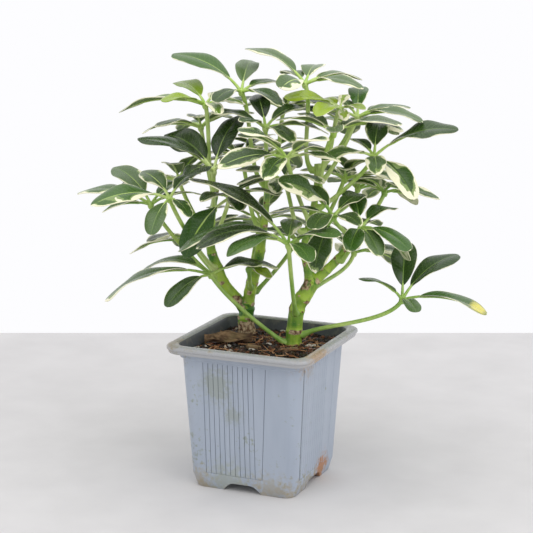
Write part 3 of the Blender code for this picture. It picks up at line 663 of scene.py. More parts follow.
# %% the stems' material
def young_bark():
    """Young bark: waxy green in bands some 12 mm long, with tan cork on the scars and on old wood."""
    material, add, shader = new_material("young_green_bark")
    place = add("TexCoord", out="Object")
    ring, wood, fresh = (add("Attribute", out="Fac", attribute_name=layer) for layer in STEM_LAYERS)
    upright = add("Mapping", {"Vector": place, "Scale": (1.0, 1.0, 0.25)})
    streaks = add("TexNoise", {"Vector": upright, "Scale": every(2.381), "Detail": 3.0})
    bands = add("TexNoise", {"Vector": place, "Scale": every(13.33), "Detail": 2.0})
    freckles = add("TexNoise", {"Vector": place, "Scale": every(1.111), "Detail": 2.0})
    crumbs = add("TexNoise", {"Vector": place, "Scale": every(1.923), "Detail": 4.0})
    band = add("Math", (streaks, 0.35, bands), operation="MULTIPLY_ADD")
    band = add("Math", (fresh, 0.3, band), operation="MULTIPLY_ADD")
    bleached = add("MapRange", (add("SeparateXYZ", (place,), "Z"), 150 * MM, 200 * MM, 0.0, 0.6))
    cork_share = add("MapRange", (crumbs, 0.38, 0.64))
    cork = add("Mix", {0: cork_share, 6: "#6d4d36", 7: "#dcc4a0"}, 2, data_type="RGBA")
    dry = add("MapRange", (add("Math", (ring, wood), operation="MAXIMUM"), 0.35, 0.7))
    colour = "#3f7a1e"
    for share, over in ((add("MapRange", (band, 0.56, 0.9)), "#b0d046"), (bleached, "#b9c893"),
                        (add("MapRange", (freckles, 0.62, 0.72, 0.0, 0.55)), "#b9b57a"), (dry, cork)):
        colour = add("Mix", {0: share, 6: colour, 7: over}, 2, data_type="RGBA")
    rough = add("MapRange", (dry, 0.0, 1.0, 0.38, 0.9))
    bump = add("Bump", {"Strength": 0.35, "Distance": 0.3 * MM, "Height": freckles})
    feed(shader, {"Base Color": colour, "Roughness": rough, "Normal": bump})
    return material


stem_bark = young_bark()
for stem_name in STEMS:
    stem = make_stem(stem_name, stem_bark)
    print(stem.name, len(stem.data.vertices), "vertices")

# %% [markdown]
# ## Where each leaf grows
# An umbrella plant's leaf is a long stalk with a whorl of leaflets at its end. The list gives each leaf's
# branch, the height on it, the hub that the leaflets spread from, and each leaflet's bearing, rise, length
# and, where it is unusual, its droop. Bearing 0 is to the right, 90 away and 180 left. Leaves further in
# follow a rule instead: leaflets evenly spread and longest on the side that the leaf leans to.

# %% the leaves
DROOP = 52.0
PLACED_LEAVES = (
    ("leaf_low_left", "right_foot", 83, (-31, -5, 126),
     ((190, -12, 64, 66), (150, -5, 50, 76), (230, -18, 40), (25, 0, 44))),
    ("leaf_low_right", "right_foot", 88, (81, -10, 112),
     ((210, 28, 34), (82, 48, 40), (30, 30, 46), (340, -5, 51), (285, -3, 25))),
    ("leaf_front", "right_foot", 102, (14, -35, 150),
     ((160, 30, 70), (172, -5, 64, 78), (200, -3, 55, 80), (222, 0, 46, 70), (85, 15, 34), (320, 15, 38),
      (290, -5, 34))),
    ("leaf_left", "left_shoot", 124, (-54, -15, 173),
     ((205, 0, 48), (125, 20, 34), (60, 20, 32), (250, -30, 32), (300, -15, 26))),
    ("leaf_far_left", "left_shoot", 118, (-67, 15, 164),
     ((160, 5, 48), (130, 25, 42), (200, -5, 30), (55, 15, 36), (20, 8, 32))),
    ("leaf_left_dark", "left_shoot", 160, (-29, -5, 187),
     ((200, 25, 50), (130, 22, 46), (55, 47, 42), (320, 25, 38), (245, 5, 34))),
    ("leaf_left_inner", "left_shoot", 142, (-20, -2, 171),
     ((204, -45, 43), (238, 5, 30), (330, 8, 34), (20, 20, 32), (285, 0, 28))),
    ("leaf_top_left", "left_shoot", 173, (-34, 10, 224),
     ((120, 15, 38), (215, 8, 30), (172, -6, 52), (62, 8, 30), (350, 2, 24), (290, -5, 26))),
    ("leaf_top_back_left", "left_leader", 175, (-13, 15, 231),
     ((155, 24, 50), (80, 25, 36), (40, 5, 32), (310, -8, 36), (240, -5, 30))),
    ("leaf_top_middle", "right_leader", 186, (24, 10, 236),
     ((145, 24, 46), (245, 2, 34), (75, 12, 36), (35, 0, 42), (325, 0, 40), (110, 10, 34))),
    ("leaf_young_lime", "right_leader", 188, (44, 5, 222),
     ((205, 8, 36), (245, 0, 34), (70, 25, 17), (315, 5, 20), (280, -15, 17), (115, 8, 24))),
    ("leaf_top_right", "right_leader", 180, (55, 15, 216),
     ((40, -3, 42), (330, 0, 42), (85, 28, 32), (125, 20, 28), (190, 5, 28), (5, 5, 32))),
    ("leaf_upper_right", "right_leader", 176, (40, -10, 210),
     ((205, 15, 38), (335, 10, 42), (270, 10, 28), (130, 15, 28), (60, 12, 32))),
    ("leaf_right", "right_leader", 164, (64, 0, 195),
     ((340, 20, 53), (80, 26, 38), (120, 16, 27), (210, 2, 38), (270, -10, 32), (305, -28, 42))),
    ("leaf_middle_right", "right_branch", 134, (56, -15, 156),
     ((50, 10, 36), (75, -8, 30), (315, -12, 38), (290, -22, 30), (20, -35, 38), (255, -15, 31),
      (115, 25, 38))),
    ("leaf_middle_front", "right_branch", 150, (40, -20, 163),
     ((50, 8, 31), (300, 0, 29), (215, 32, 46), (105, 16, 36), (250, 0, 36), (160, 18, 38), (245, -45, 38))),
    ("leaf_crown_front", "right_leader", 158, (13, -25, 198),
     ((225, 27, 42), (203, -4, 42), (250, -6, 36), (310, 22, 38), (50, 0, 34), (337, 0, 33), (150, 20, 34))),
    ("leaf_crown_upright", "left_leader", 172, (1, 5, 211),
     ((100, 30, 33), (235, 15, 26), (40, 20, 32), (0, -3, 38), (300, -8, 32), (170, 10, 34))),
)
WHORLED_LEAVES = (  # name, branch, height, hub, leaflets, longest, bearing of the lean, lean
    ("leaf_young_inner", "left_leader", 112, (-9, 10, 126), 3, 27, 200, -40),
    ("leaf_inner_low", "left_leader", 108, (20, 46, 136), 6, 36, 60, 20),
    ("leaf_inner_left", "left_leader", 148, (-14, 36, 190), 6, 36, 120, 10),
    ("leaf_inner_right", "right_leader", 142, (48, 22, 178), 7, 38, 40, 20),
    ("leaf_heart", "right_leader", 150, (12, 2, 180), 6, 34, 230, 10),
    ("leaf_pale_right", "right_branch", 146, (72, 22, 170), 6, 36, 30, 25),
    ("leaf_back_top", "left_leader", 174, (12, 36, 218), 7, 40, 90, 15),
    ("leaf_back_top_left", "left_shoot", 170, (-38, 44, 206), 7, 42, 120, 20),
    ("leaf_back_top_right", "right_leader", 184, (52, 46, 206), 7, 42, 60, 20),
    ("leaf_back_middle", "left_leader", 150, (2, 62, 186), 7, 44, 90, 25),
    ("leaf_back_left", "left_shoot", 142, (-52, 52, 172), 7, 44, 135, 25),
    ("leaf_back_right", "right_leader", 148, (58, 58, 166), 7, 44, 50, 25),
    ("leaf_back_low_left", "left_shoot", 114, (-44, 60, 132), 6, 46, 130, 30),
    ("leaf_back_low", "left_foot", 96, (-2, 74, 142), 7, 46, 90, 30),
    ("leaf_back_low_right", "right_foot", 110, (56, 56, 126), 6, 46, 40, 30),
)


def whorl(count, longest, lean_bearing, lean, seed):
    """A usual leaf's leaflets, evenly spread and longest on the side that the leaf leans to."""
    draw = random.Random(seed)
    spin = draw.uniform(0, 360)
    leaflets = []
    for k in range(count):
        bearing = spin + 360 / count * k + draw.uniform(-7, 7)
        towards = math.cos(math.radians(bearing - lean_bearing))
        rise = 8 - lean * towards + draw.uniform(-6, 6)
        length = longest * (0.88 + 0.12 * towards) * draw.uniform(0.92, 1.0)
        leaflets.append((bearing, rise, length, DROOP))
    return leaflets


leaves = [(name, branch, height, Vector(hub), [(*leaflet, DROOP)[:4] for leaflet in leaflets])
          for name, branch, height, hub, leaflets in PLACED_LEAVES]
for seed, (name, branch, height, hub, *rule) in enumerate(WHORLED_LEAVES):
    leaves.append((name, branch, height, Vector(hub), whorl(*rule, seed)))
print(len(leaves), "leaves, the fullest with", max(len(leaf[4]) for leaf in leaves), "leaflets")

# %% [markdown]
# ## The arc of a leaflet and the bow of a stalk
# A leaflet leaves its hub steeply and turns down evenly towards its tip, so it follows an arc of a circle
# whose chord is the stated bearing, rise and length. A stalk is one smooth curve from the side of its
# branch to the hub. Some are bowed or turned a little to clear their neighbours.

# %% arcs and curves
STALK_STANDOFF = 0.9
STALK_RADIUS = 1.1


def heading(bearing):
    bearing = math.radians(bearing)
    return Vector((math.cos(bearing), math.sin(bearing), 0))


def arc_frame(hub, leaflet, along):
    """The place, the leaflet's left and its upward normal at a share of its length."""
    bearing, rise, length, droop = leaflet
    outward = heading(bearing)
    turn = math.radians(droop)
    start = math.radians(rise) + turn / 2
    radius = length / (2 * math.sin(turn / 2))
    slope = start - turn * along
    place = hub + outward * radius * (math.sin(start) - math.sin(slope))
    place.z += radius * (math.cos(slope) - math.cos(start))
    return place, heading(bearing + 90), Vector((0, 0, math.cos(slope))) - outward * math.sin(slope)


def branch_at(name, height):
    """The middle, the radius and the direction of a branch at a height."""
    points = BRANCHES[name]
    for low, high in zip(points, points[1:]):
        if height <= high[2]:
            break
    low, high = Vector(low), Vector(high)
    mixed = low.lerp(high, (height - low.z) / (high.z - low.z))
    return mixed.xyz, mixed.w, (high.xyz - low.xyz).normalized()


def stalk_guides(branch, height, hub, bow):
    """The four guides of a stalk's curve, and the heart of the branch that it grows from."""
    middle, radius, direction = branch_at(branch, height)
    out = Vector((hub.x - middle.x, hub.y - middle.y, 0)).normalized()
    start = middle + out * (radius / math.sqrt(1 - out.dot(direction) ** 2) + STALK_STANDOFF)
    reach = (hub - start).length
    first = start + (out * 0.8 + Vector((0, 0, 0.6))) * reach * 0.22 + bow
    second = hub - Vector((0, 0, 0.75)) * reach * 0.3 - out * reach * 0.12 + bow
    return (start, first, second, hub), middle + out * radius * 0.3


def on_curve(guides, t):
    a, b, c, d = guides
    return a * (1 - t) ** 3 + b * 3 * t * (1 - t) ** 2 + c * 3 * t * t * (1 - t) + d * t ** 3


# %% [markdown]
# ## Reading the settled leaves from the frame
# The frame's plain leaves were settled one by one, so the stated bearing is not always the final one. The
# settled way is found by trying the small turns, smallest first, until the tip falls on corners that the
# plain leaf really has. Stalks are found the same way, by the rings of corners round their middle line.

# %% find each bow and turn
TIP_HALF_SHARE, TIP_HALF_LEAST, PLAIN_THICKNESS = 0.03, 0.8, 0.6
WIDEST_LENGTH = 52.0
TURN_STEPS = (0, 5, -5, 10, -10, 16, -16, 23, -23, 31, -31)
BOW_STEPS = range(-15, 16, 3)
SHORTENED, MOST_TURN_SHORTENED = 0.8, 42
MATCH = 0.02
small_turns = [(b, r, 1.0) for b in TURN_STEPS for r in TURN_STEPS]
small_turns.sort(key=lambda turn: abs(turn[0]) + abs(turn[1]))
small_turns += [(b, r, SHORTENED) for b, r, _ in small_turns if abs(b) + abs(r) < MOST_TURN_SHORTENED]


def plain_corners(name):
    """A finder over the corners of a plain leaf, in the plant's axes and millimetres."""
    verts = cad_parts[name].data.vertices
    finder = kdtree.KDTree(len(verts))
    to_plant = IN_PLANT.inverted()
    for index, vert in enumerate(verts):
        finder.insert(to_plant @ vert.co, index)
    finder.balance()
    return finder


def settled_leaflet(corners, hub, leaflet):
    """The leaflet as it was settled, or nothing if it found no room."""
    bearing, rise, length, droop = leaflet
    for turn, tip, shrink in small_turns:
        trial = (bearing + turn, rise + tip, length * shrink, droop)
        place, left, normal = arc_frame(hub, trial, 1.0)
        half = max(TIP_HALF_SHARE * min(trial[2], WIDEST_LENGTH), TIP_HALF_LEAST)
        ends = [place + left * half * x + normal * PLAIN_THICKNESS / 2 * y for x in (-1, 1) for y in (-1, 1)]
        if all(corners.find(end)[2] < MATCH for end in ends):
            return trial
    return None


def settled_stalk(corners, branch, height, hub):
    """The guides of a stalk with the bow that it was settled with."""
    for x in BOW_STEPS:
        for y in BOW_STEPS:
            guides, heart = stalk_guides(branch, height, hub, Vector((x, y, 0)))
            rings = [corners.find_range(on_curve(guides, t), STALK_RADIUS + MATCH) for t in (0.4, 0.6)]
            if all(sum(found[2] > STALK_RADIUS - MATCH for found in ring) >= 5 for ring in rings):
                return guides, heart
    print("no stalk found at", branch, height)
    return stalk_guides(branch, height, hub, Vector())


settled = []
for name, branch, height, hub, leaflets in leaves:
    corners = plain_corners(name)
    found = [(index, settled_leaflet(corners, hub, leaflet)) for index, leaflet in enumerate(leaflets)]
    lost = [index for index, leaflet in found if leaflet is None]
    if lost:
        print(name, "has no room for leaflets", lost)
    kept = [(index, leaflet) for index, leaflet in found if leaflet]
    settled.append((name, hub, settled_stalk(corners, branch, height, hub), kept))
print("leaflets found:", sum(len(leaf[3]) for leaf in settled), "of", sum(len(leaf[4]) for leaf in leaves))

# %% [markdown]
# ## How green, how much painted sheen, how cream
# Variegation is a fault in the leaf's growing layers, so no two leaflets match: the cream runs along one
# edge or both, and the green beside it is milky. Each leaflet is given four numbers: its shade from dark
# to lime, a grey painted sheen that stands in for the gloss reflecting the bright surroundings, and the
# cream's share of its left and right halves. Leaves that the list doesn't name draw theirs by chance. A
# few leaflets hang rolled to one side, and one has a yellow tip.

# %% the look of each leaflet
DARK, DEEP, MID, FRESH, LIME = 0.05, 0.18, 0.36, 0.6, 0.9
# each look is shade, painted sheen, left cream and right cream
LOOKS = {  # a leaf's usual look, and the leaflets that differ, by their order in the list
    "leaf_low_left": ((MID, 0.45, 0.10, 0.05), {2: (DEEP, 0.2, 0.03, 0.03), 3: (DARK, 0.1, 0.02, 0.12)}),
    "leaf_low_right": ((DEEP, 0.1, 0.02, 0.02), {
        0: (MID, 0.6, 0.0, 0.0), 3: (MID, 0.15, 0.05, 0.02), 4: (MID, 0.65, 0.02, 0.02)}),
    "leaf_front": ((DARK, 0.15, 0.05, 0.03), {
        0: (DARK, 0.3, 0.10, 0.03), 1: (MID, 0.5, 0.08, 0.02), 3: (MID, 0.6, 0.03, 0.02),
        4: (MID, 0.8, 0.02, 0.24), 5: (MID, 0.5, 0.02, 0.03), 6: (MID, 0.4, 0.05, 0.05)}),
    "leaf_left": ((DEEP, 0.2, 0.08, 0.08), {
        0: (MID, 0.3, 0.30, 0.05), 1: (MID, 0.7, 0.14, 0.10), 3: (MID, 0.6, 0.08, 0.05),
        4: (DEEP, 0.2, 0.16, 0.10)}),
    "leaf_far_left": ((MID, 0.35, 0.12, 0.10), {0: (MID, 0.4, 0.24, 0.08), 1: (MID, 0.7, 0.05, 0.14)}),
    "leaf_left_dark": ((DARK, 0.1, 0.01, 0.01), {1: (DARK, 0.3, 0.0, 0.02)}),
    "leaf_left_inner": ((DEEP, 0.25, 0.14, 0.12), {0: (0.28, 0.0, 0.0, 0.0)}),
    "leaf_top_left": ((FRESH, 0.1, 0.28, 0.32), {
        0: (0.8, 0.05, 0.0, 0.04), 1: (0.84, 0.0, 0.0, 0.0), 2: (FRESH, 0.3, 0.16, 0.16),
        3: (MID, 0.4, 0.3, 0.3)}),
    "leaf_top_back_left": ((DEEP, 0.2, 0.10, 0.12), {
        0: (0.46, 0.3, 0.03, 0.03), 1: (MID, 0.9, 0.0, 0.03), 2: (MID, 0.5, 0.05, 0.05)}),
    "leaf_top_middle": ((MID, 0.9, 0.10, 0.12), {1: (MID, 0.6, 0.48, 0.06)}),
    "leaf_young_lime": ((LIME, 0.0, 0.12, 0.10), {
        0: (LIME, 0.0, 0.0, 0.0), 1: (LIME, 0.0, 0.02, 0.02), 2: (LIME, 0.0, 0.6, 0.6),
        4: (LIME, 0.0, 0.7, 0.5)}),
    "leaf_top_right": ((MID, 0.85, 0.06, 0.06), {2: (MID, 0.1, 0.04, 0.04)}),
    "leaf_upper_right": ((DEEP, 0.85, 0.05, 0.10), {}),
    "leaf_right": ((DEEP, 0.3, 0.08, 0.08), {
        0: (DEEP, 0.15, 0.03, 0.06), 3: (MID, 0.5, 0.16, 0.22), 4: (MID, 0.7, 0.22, 0.26),
        5: (DEEP, 0.1, 0.3, 0.5)}),
    "leaf_middle_right": ((MID, 0.1, 0.09, 0.09), {3: (MID, 0.65, 0.06, 0.12), 4: (MID, 0.2, 0.3, 0.5)}),
    "leaf_middle_front": ((DEEP, 0.35, 0.12, 0.12), {2: (DEEP, 0.25, 0.5, 0.07)}),
    "leaf_crown_front": ((DEEP, 0.25, 0.22, 0.24), {}),
    "leaf_crown_upright": ((DEEP, 0.35, 0.12, 0.12), {0: (DARK, 0.1, 0.05, 0.05)}),
    "leaf_young_inner": ((LIME, 0.0, 0.1, 0.1), {}),
    "leaf_inner_right": ((MID, 0.3, 0.42, 0.36), {}),
    "leaf_pale_right": ((MID, 0.3, 0.46, 0.40), {}),
}
ROLLS = {  # leaflets that hang turned to one side, in degrees
    ("leaf_left_inner", 0): -60, ("leaf_right", 0): 18, ("leaf_left_dark", 0): -8, ("leaf_left_dark", 1): -34,
    ("leaf_middle_front", 2): -46, ("leaf_young_lime", 0): -16, ("leaf_young_lime", 1): -6,
    ("leaf_top_middle", 1): -30, ("leaf_top_left", 0): -8, ("leaf_top_left", 1): -8,
    ("leaf_top_back_left", 0): -9, ("leaf_left", 0): -14, ("leaf_crown_front", 1): -22,
    ("leaf_crown_front", 0): -20, ("leaf_upper_right", 1): -4, ("leaf_top_right", 1): -4,
    ("leaf_far_left", 1): -14, ("leaf_left", 1): -14, ("leaf_low_right", 3): 6}
YELLOWED = {("leaf_low_right", 3)}  # leaflets whose tip has begun to yellow


def look_of(name, index, draw):
    """A leaflet's shade, painted sheen and left and right cream, a little different each time."""
    usual, special = LOOKS.get(name, (None, {}))
    if usual is None:
        usual = (draw.uniform(DARK, MID), draw.uniform(0.1, 0.5), draw.uniform(0.02, 0.3),
                 draw.uniform(0.02, 0.3))
    shade, painted_sheen, left, right = special.get(index, usual)
    return (max(0.0, shade + draw.uniform(-0.05, 0.05)), painted_sheen * draw.uniform(0.85, 1.15),
            left * draw.uniform(0.8, 1.2), right * draw.uniform(0.8, 1.2))


# %% [markdown]
# ## A blade
# A leaflet's blade is broadest past its middle, round at the shoulder and briefly pointed. It is folded
# like a shallow roof valley along its midrib, most at its base, its edges turn down again and wave a
# little. A flat grid is laid along the arc and bent so. A Solidify modifier then gives the sheet its
# thickness, and its lower face gets the material of the underside.

# %% bend a grid into a blade
BLADE_START = 0.2
BLADE_ROWS, BLADE_COLUMNS = 26, 12
BLADE_THICKNESS = 0.34
WIDEST_SHARE = 0.2
BASE_POWER = 0.74
BLUNTEST, SHARPEST = 0.46, 0.8
ROLLED_BY = 0.4               # a roll is complete at this share of the blade


def row_spread(share):
    """Rows lie closer together near both ends, where the outline turns fastest."""
    return 0.45 * share + 0.55 * (1 - math.cos(math.pi * share)) / 2


def half_width(share, leaflet, tip_power):
    """Half the blade's width at a share of its length; a higher power makes a sharper tip."""
    widest_at = BASE_POWER / (BASE_POWER + tip_power)
    peak = widest_at ** BASE_POWER * (1 - widest_at) ** tip_power
    return (WIDEST_SHARE * min(leaflet[2], WIDEST_LENGTH)
            * share ** BASE_POWER * (1 - share) ** tip_power / peak)


def add_blade(bm, hub, leaflet, look, hung, yellowed, draw):
    """One blade along its leaflet's arc, and how far its midrib bends aside."""
    uv, look_layer = bm.loops.layers.uv["blade"], bm.verts.layers.float_color["look"]
    seed_layer, yellow_layer = bm.verts.layers.float["seed"], bm.verts.layers.float["yellow"]
    verts = bmesh.ops.create_grid(bm, x_segments=BLADE_ROWS, y_segments=BLADE_COLUMNS, size=0.5)["verts"]
    for face in {face for vert in verts for face in vert.link_faces}:
        for loop in face.loops:
            loop[uv].uv = (row_spread(loop.vert.co.x + 0.5), loop.vert.co.y + 0.5)
    roll, bend = math.radians(draw.uniform(-9, 9) + hung), draw.uniform(-0.05, 0.05) * leaflet[2]
    wave, waves, phase = draw.uniform(0.04, 0.11), draw.uniform(1.2, 2.0), draw.uniform(0, 1)
    cup = draw.uniform(0.16, 0.34)
    tip_power = draw.uniform(BLUNTEST, SHARPEST)
    seed = draw.uniform(0, 1)
    for vert in verts:
        share, across = row_spread(vert.co.x + 0.5), vert.co.y * 2
        place, left, normal = arc_frame(hub, leaflet, BLADE_START + (1 - BLADE_START) * share)
        half = half_width(share, leaflet, tip_power)
        fold = 0.12 + 0.40 * (1 - share) ** 0.8
        side_phase = phase if across > 0 else phase + 0.37
        ripple = wave * math.sin(math.tau * (waves * share + side_phase)) * across * across
        lift = half * (fold * abs(across) - cup * across * across + ripple)
        aside = half * across * (1 - 0.12 * fold) + bend * (share * share - share)
        turn = roll * min(1.0, share / ROLLED_BY)
        vert.co = (place + (left * math.cos(turn) + normal * math.sin(turn)) * aside
                   + (normal * math.cos(turn) - left * math.sin(turn)) * lift)
        vert[look_layer], vert[seed_layer], vert[yellow_layer] = look, seed, yellowed
    bmesh.ops.remove_doubles(bm, verts=verts, dist=1e-4)
    return bend


# %% [markdown]
# ## A stalk, its hub and the leaflets' own stalks
# The stalk is a tapering round shoot that clasps the stem with a wide base. At its end a knob carries the
# leaflets' short stalks, and each of these runs on under its blade as the midrib, which stands out below.

# %% grow the stalks
STALK_STEPS = 26
SLIM_RADIUS, CLASP_RADIUS, CLASP_LENGTH = 1.24, 2.3, 0.07
HUB_SWELL, HUB_LENGTH = 0.35, 0.03
HUB_KNOB = ((-2.4, 1.3), (-1.2, 1.85), (0.0, 2.0), (0.9, 1.7), (1.5, 0.9), (1.7, 0.3))  # height, radius
RIB_STEPS = 14
RIB_START, RIB_END = 0.02, 0.86
SHORT_STALK_RADIUS, RIB_RADIUS, RIB_TIP_RADIUS = 1.02, 0.66, 0.06
RIB_SUNK = 0.55               # how much of the midrib's radius lies below the blade


def stalk_radius(t):
    """Widest where the stalk clasps the stem, slim along its way, and a little swollen at the hub."""
    return (SLIM_RADIUS + (CLASP_RADIUS - SLIM_RADIUS) * math.exp(-t / CLASP_LENGTH)
            + HUB_SWELL * math.exp(-(1 - t) / HUB_LENGTH))


def add_leaf_stalk(bm, hub, guides, heart):
    steps = [k / STALK_STEPS for k in range(STALK_STEPS + 1)]
    points = [heart, *(on_curve(guides, t) for t in steps)]
    tube(bm, points, [CLASP_RADIUS, *(stalk_radius(t) for t in steps)], sides=12)
    heights, radii = zip(*HUB_KNOB)
    tube(bm, [hub + Vector((0, 0, height)) for height in heights], radii, sides=14)


def add_rib(bm, hub, leaflet, bend):
    """The leaflet's stalk and midrib: free up to the blade, then half sunk into its underside."""
    points, radii = [], []
    for k in range(RIB_STEPS + 1):
        along = RIB_START + (RIB_END - RIB_START) * k / RIB_STEPS
        place, left, normal = arc_frame(hub, leaflet, along)
        share = max(0.0, (along - BLADE_START) / (1 - BLADE_START))
        radius = RIB_RADIUS * (1 - share) ** 0.8 + RIB_TIP_RADIUS
        if share == 0:
            radius = SHORT_STALK_RADIUS - 0.25 * min(1.0, along / BLADE_START)
        points.append(place + left * bend * (share * share - share)
                      - normal * (radius * RIB_SUNK + BLADE_THICKNESS / 2) * min(1.0, share * 12))
        radii.append(radius)
    tube(bm, points, radii, sides=8)


# %% [markdown]
# ## Leaf green, in layers
# The blade's upper face is waxy: dark green with a paler midrib and faint side veins, milky patches where
# only some layers are white, and cream at the edge where all are. Grey is mixed in as a painted sheen,
# standing in for the gloss that reflects the bright surroundings. Everything follows the blade's own UV
# map, where one direction runs from base to tip and the other from edge to edge, so the pattern grows
# with the leaf. The underside is the same pattern, paler and matt.

# %% the blades' materials
SIDE_VEINS = 13.0
WAX_IOR = 1.5


def leaf_skin(name, under):
    """Leaf skin: waxy above, with a clear gloss and a grey painted sheen, and dull and paler below."""
    material, add, shader = new_material(name)
    along, across, _ = add("SeparateXYZ", (add("UVMap", uv_map="blade"),)).node.outputs
    look = add("Attribute", attribute_name="look").node.outputs
    shade, painted_sheen, left = add("SeparateColor", (look["Color"],)).node.outputs
    right = look["Alpha"]
    seed, yellow = (add("Attribute", out="Fac", attribute_name=layer) for layer in ("seed", "yellow"))

    # from 0 on the midrib to 1 at the edge or the tip
    off_rib = add("Math", (across, 0.5), operation="SUBTRACT")
    off_rib = add("Math", (off_rib,), operation="ABSOLUTE")
    to_edge = add("Math", (off_rib, 2.0), operation="MULTIPLY")
    outer = add("Math", (to_edge, add("MapRange", (along, 0.72, 1.0))), operation="MAXIMUM")

    # ragged growth: eight patches along a blade and nearly four across it, so about 5 mm each
    spot = add("CombineXYZ", (along, across, seed))
    patches_at = add("VectorMath", (spot, (8.0, 3.6, 41.0)), operation="MULTIPLY")
    patches = add("TexNoise", {"Vector": patches_at, "Scale": 1.0, "Detail": 3.0, "Roughness": 0.55})
    ragged = add("Math", (patches, 0.5), operation="SUBTRACT")

    # cream comes and goes along the margin of each half, with a milky zone inside it
    is_left = add("Math", (across, 0.5), operation="GREATER_THAN")
    margin = add("Mix", {0: is_left, 2: right, 3: left}, data_type="FLOAT")
    stretch_at = add("VectorMath", (spot, (2.8, 1.3, 17.0)), operation="MULTIPLY")
    stretches = add("TexNoise", {"Vector": stretch_at, "Scale": 1.0, "Detail": 1.0})
    stretches = add("MapRange", (stretches, 0.4, 0.62, 0.3, 1.9))
    margin = add("Math", (margin, stretches), operation="MULTIPLY")
    margin = add("Math", (margin, 0.76), operation="MINIMUM")
    reach = add("Math", (margin, 2.6), operation="MULTIPLY")
    reach = add("Math", (reach, 0.7), operation="MINIMUM")
    frayed = add("Math", (ragged, reach, outer), operation="MULTIPLY_ADD")
    inset = add("Math", (frayed, margin), operation="ADD")
    milky_inset = add("Math", (margin, 0.9, inset), operation="MULTIPLY_ADD")

    # a tip that dies back turns yellow, its edge last
    dying = add("Math", (ragged, 0.35, along), operation="MULTIPLY_ADD")
    dying = add("MapRange", (dying, 0.68, 0.8))
    for hold in (add("MapRange", (outer, 1.0, 0.7, 0.1, 1.0)), yellow):
        dying = add("Math", (dying, hold), operation="MULTIPLY")

    # side veins leave the midrib at a slant, and the midrib fades out towards the tip
    slant = add("Math", (to_edge, -1.9), operation="MULTIPLY")
    vein_phase = add("Math", (along, SIDE_VEINS, slant), operation="MULTIPLY_ADD")
    vein_phase = add("Math", (vein_phase, 0.5), operation="PINGPONG")
    veins = add("MapRange", (vein_phase, 0.07, 0.0))
    vein_tint = add("Math", (veins, 0.16), operation="MULTIPLY")
    rib_width = add("MapRange", (along, 0.0, 1.0, 0.11, 0.03))
    rib_tint = add("MapRange", (add("Math", (to_edge, rib_width), operation="DIVIDE"), 1.0, 0.4, 0.0, 0.28))

    layers = [(add("MapRange", (shade, 0.0, 0.5)), "#3a6717"),
              (add("MapRange", (shade, 0.5, 1.0)), "#a3bb34"),
              # painted sheen: grey laid into the colour as a painted reflection of the bright surroundings
              (add("Math", (painted_sheen, 0.56), operation="MULTIPLY"), "#70815a"),
              (add("MapRange", (patches, 0.3, 0.7, 0.0, 0.1)), "#5b8a2c"), (dying, "#dfd45a"),
              (add("Math", (vein_tint, rib_tint), operation="MAXIMUM"), "#96b658"),
              (add("MapRange", (milky_inset, 1.02, 1.08, 0.0, 0.62)), "#98af66"),
              (add("MapRange", (inset, 1.0, 1.03)), "#f5f1cf")]
    if under:
        layers.append((0.36, "#96ab74"))
    colour = "#0b1b09"
    for share, over in layers:
        colour = add("Mix", {0: share, 6: colour, 7: over}, 2, data_type="RGBA")
    fine = add("TexNoise", {"Vector": patches_at, "Scale": 6.0, "Detail": 2.0})
    rough = add("MapRange", (fine, 0.0, 1.0, *((0.5, 0.72) if under else (0.16, 0.36))))
    relief = add("Math", (veins, 0.5, fine), operation="MULTIPLY_ADD")
    bump = add("Bump", {"Strength": 0.22, "Distance": 0.4 * MM, "Height": relief})
    feed(shader, {"Base Color": colour, "Roughness": rough, "Normal": bump, "IOR": WAX_IOR})
    return material


def stalk_skin_with_painted_glow(name, low, high):
    """Smooth green stalk skin, with a satin wax and fine lengthwise streaks; its greens carry a painted glow.
    """
    material, add, shader = new_material(name)
    place = add("TexCoord", out="Object")
    upright = add("Mapping", {"Vector": place, "Scale": (1.0, 1.0, 0.2)})
    streaks = add("TexNoise", {"Vector": upright, "Scale": every(2.0), "Detail": 2.0})
    clouds = add("TexNoise", {"Vector": place, "Scale": every(14.29), "Detail": 2.0})
    mixed = add("Math", (streaks, 0.4, clouds), operation="MULTIPLY_ADD")
    colour = add("Mix", {0: add("MapRange", (mixed, 0.5, 0.9)), 6: low, 7: high}, 2, data_type="RGBA")
    rough = add("MapRange", (streaks, 0.0, 1.0, 0.32, 0.5))
    bump = add("Bump", {"Strength": 0.15, "Distance": 0.3 * MM, "Height": streaks})
    feed(shader, {"Base Color": colour, "Roughness": rough, "Normal": bump})
    return material


leaf_skins = (leaf_skin("waxy_leaf_upper_side", False), leaf_skin("dull_leaf_underside", True))
# both stalk greens are painted lighter than the stalks are: painted glow of light shining through them
stalk_lime = stalk_skin_with_painted_glow("lime_leaf_stalk", "#a6c955", "#d6e698")
stalk_green = stalk_skin_with_painted_glow("green_leaf_stalk", "#85b04a", "#bdd474")

# %% [markdown]
# ## Growing the leaves
# Every leaf becomes two pieces: its stalk with hub and midribs, and its blades. Both stand for the plain
# leaf of the frame. High leaves are young and have lime stalks, and lower ones have greener stalks; both
# greens are lighter than the stalk's own colour, a painted glow of the light that shines through it.

# %% grow every leaf
LIME_FROM = 170.0


def thickened(name, bm, thickness, materials=()):
    """A flat sheet given its thickness; its lower face takes the second material."""
    sheet = scene_object(name, bm, None, materials)
    wall = sheet.modifiers.new("thickness", "SOLIDIFY")
    wall.thickness = thickness
    wall.material_offset = len(materials) // 2
    return baked(sheet)


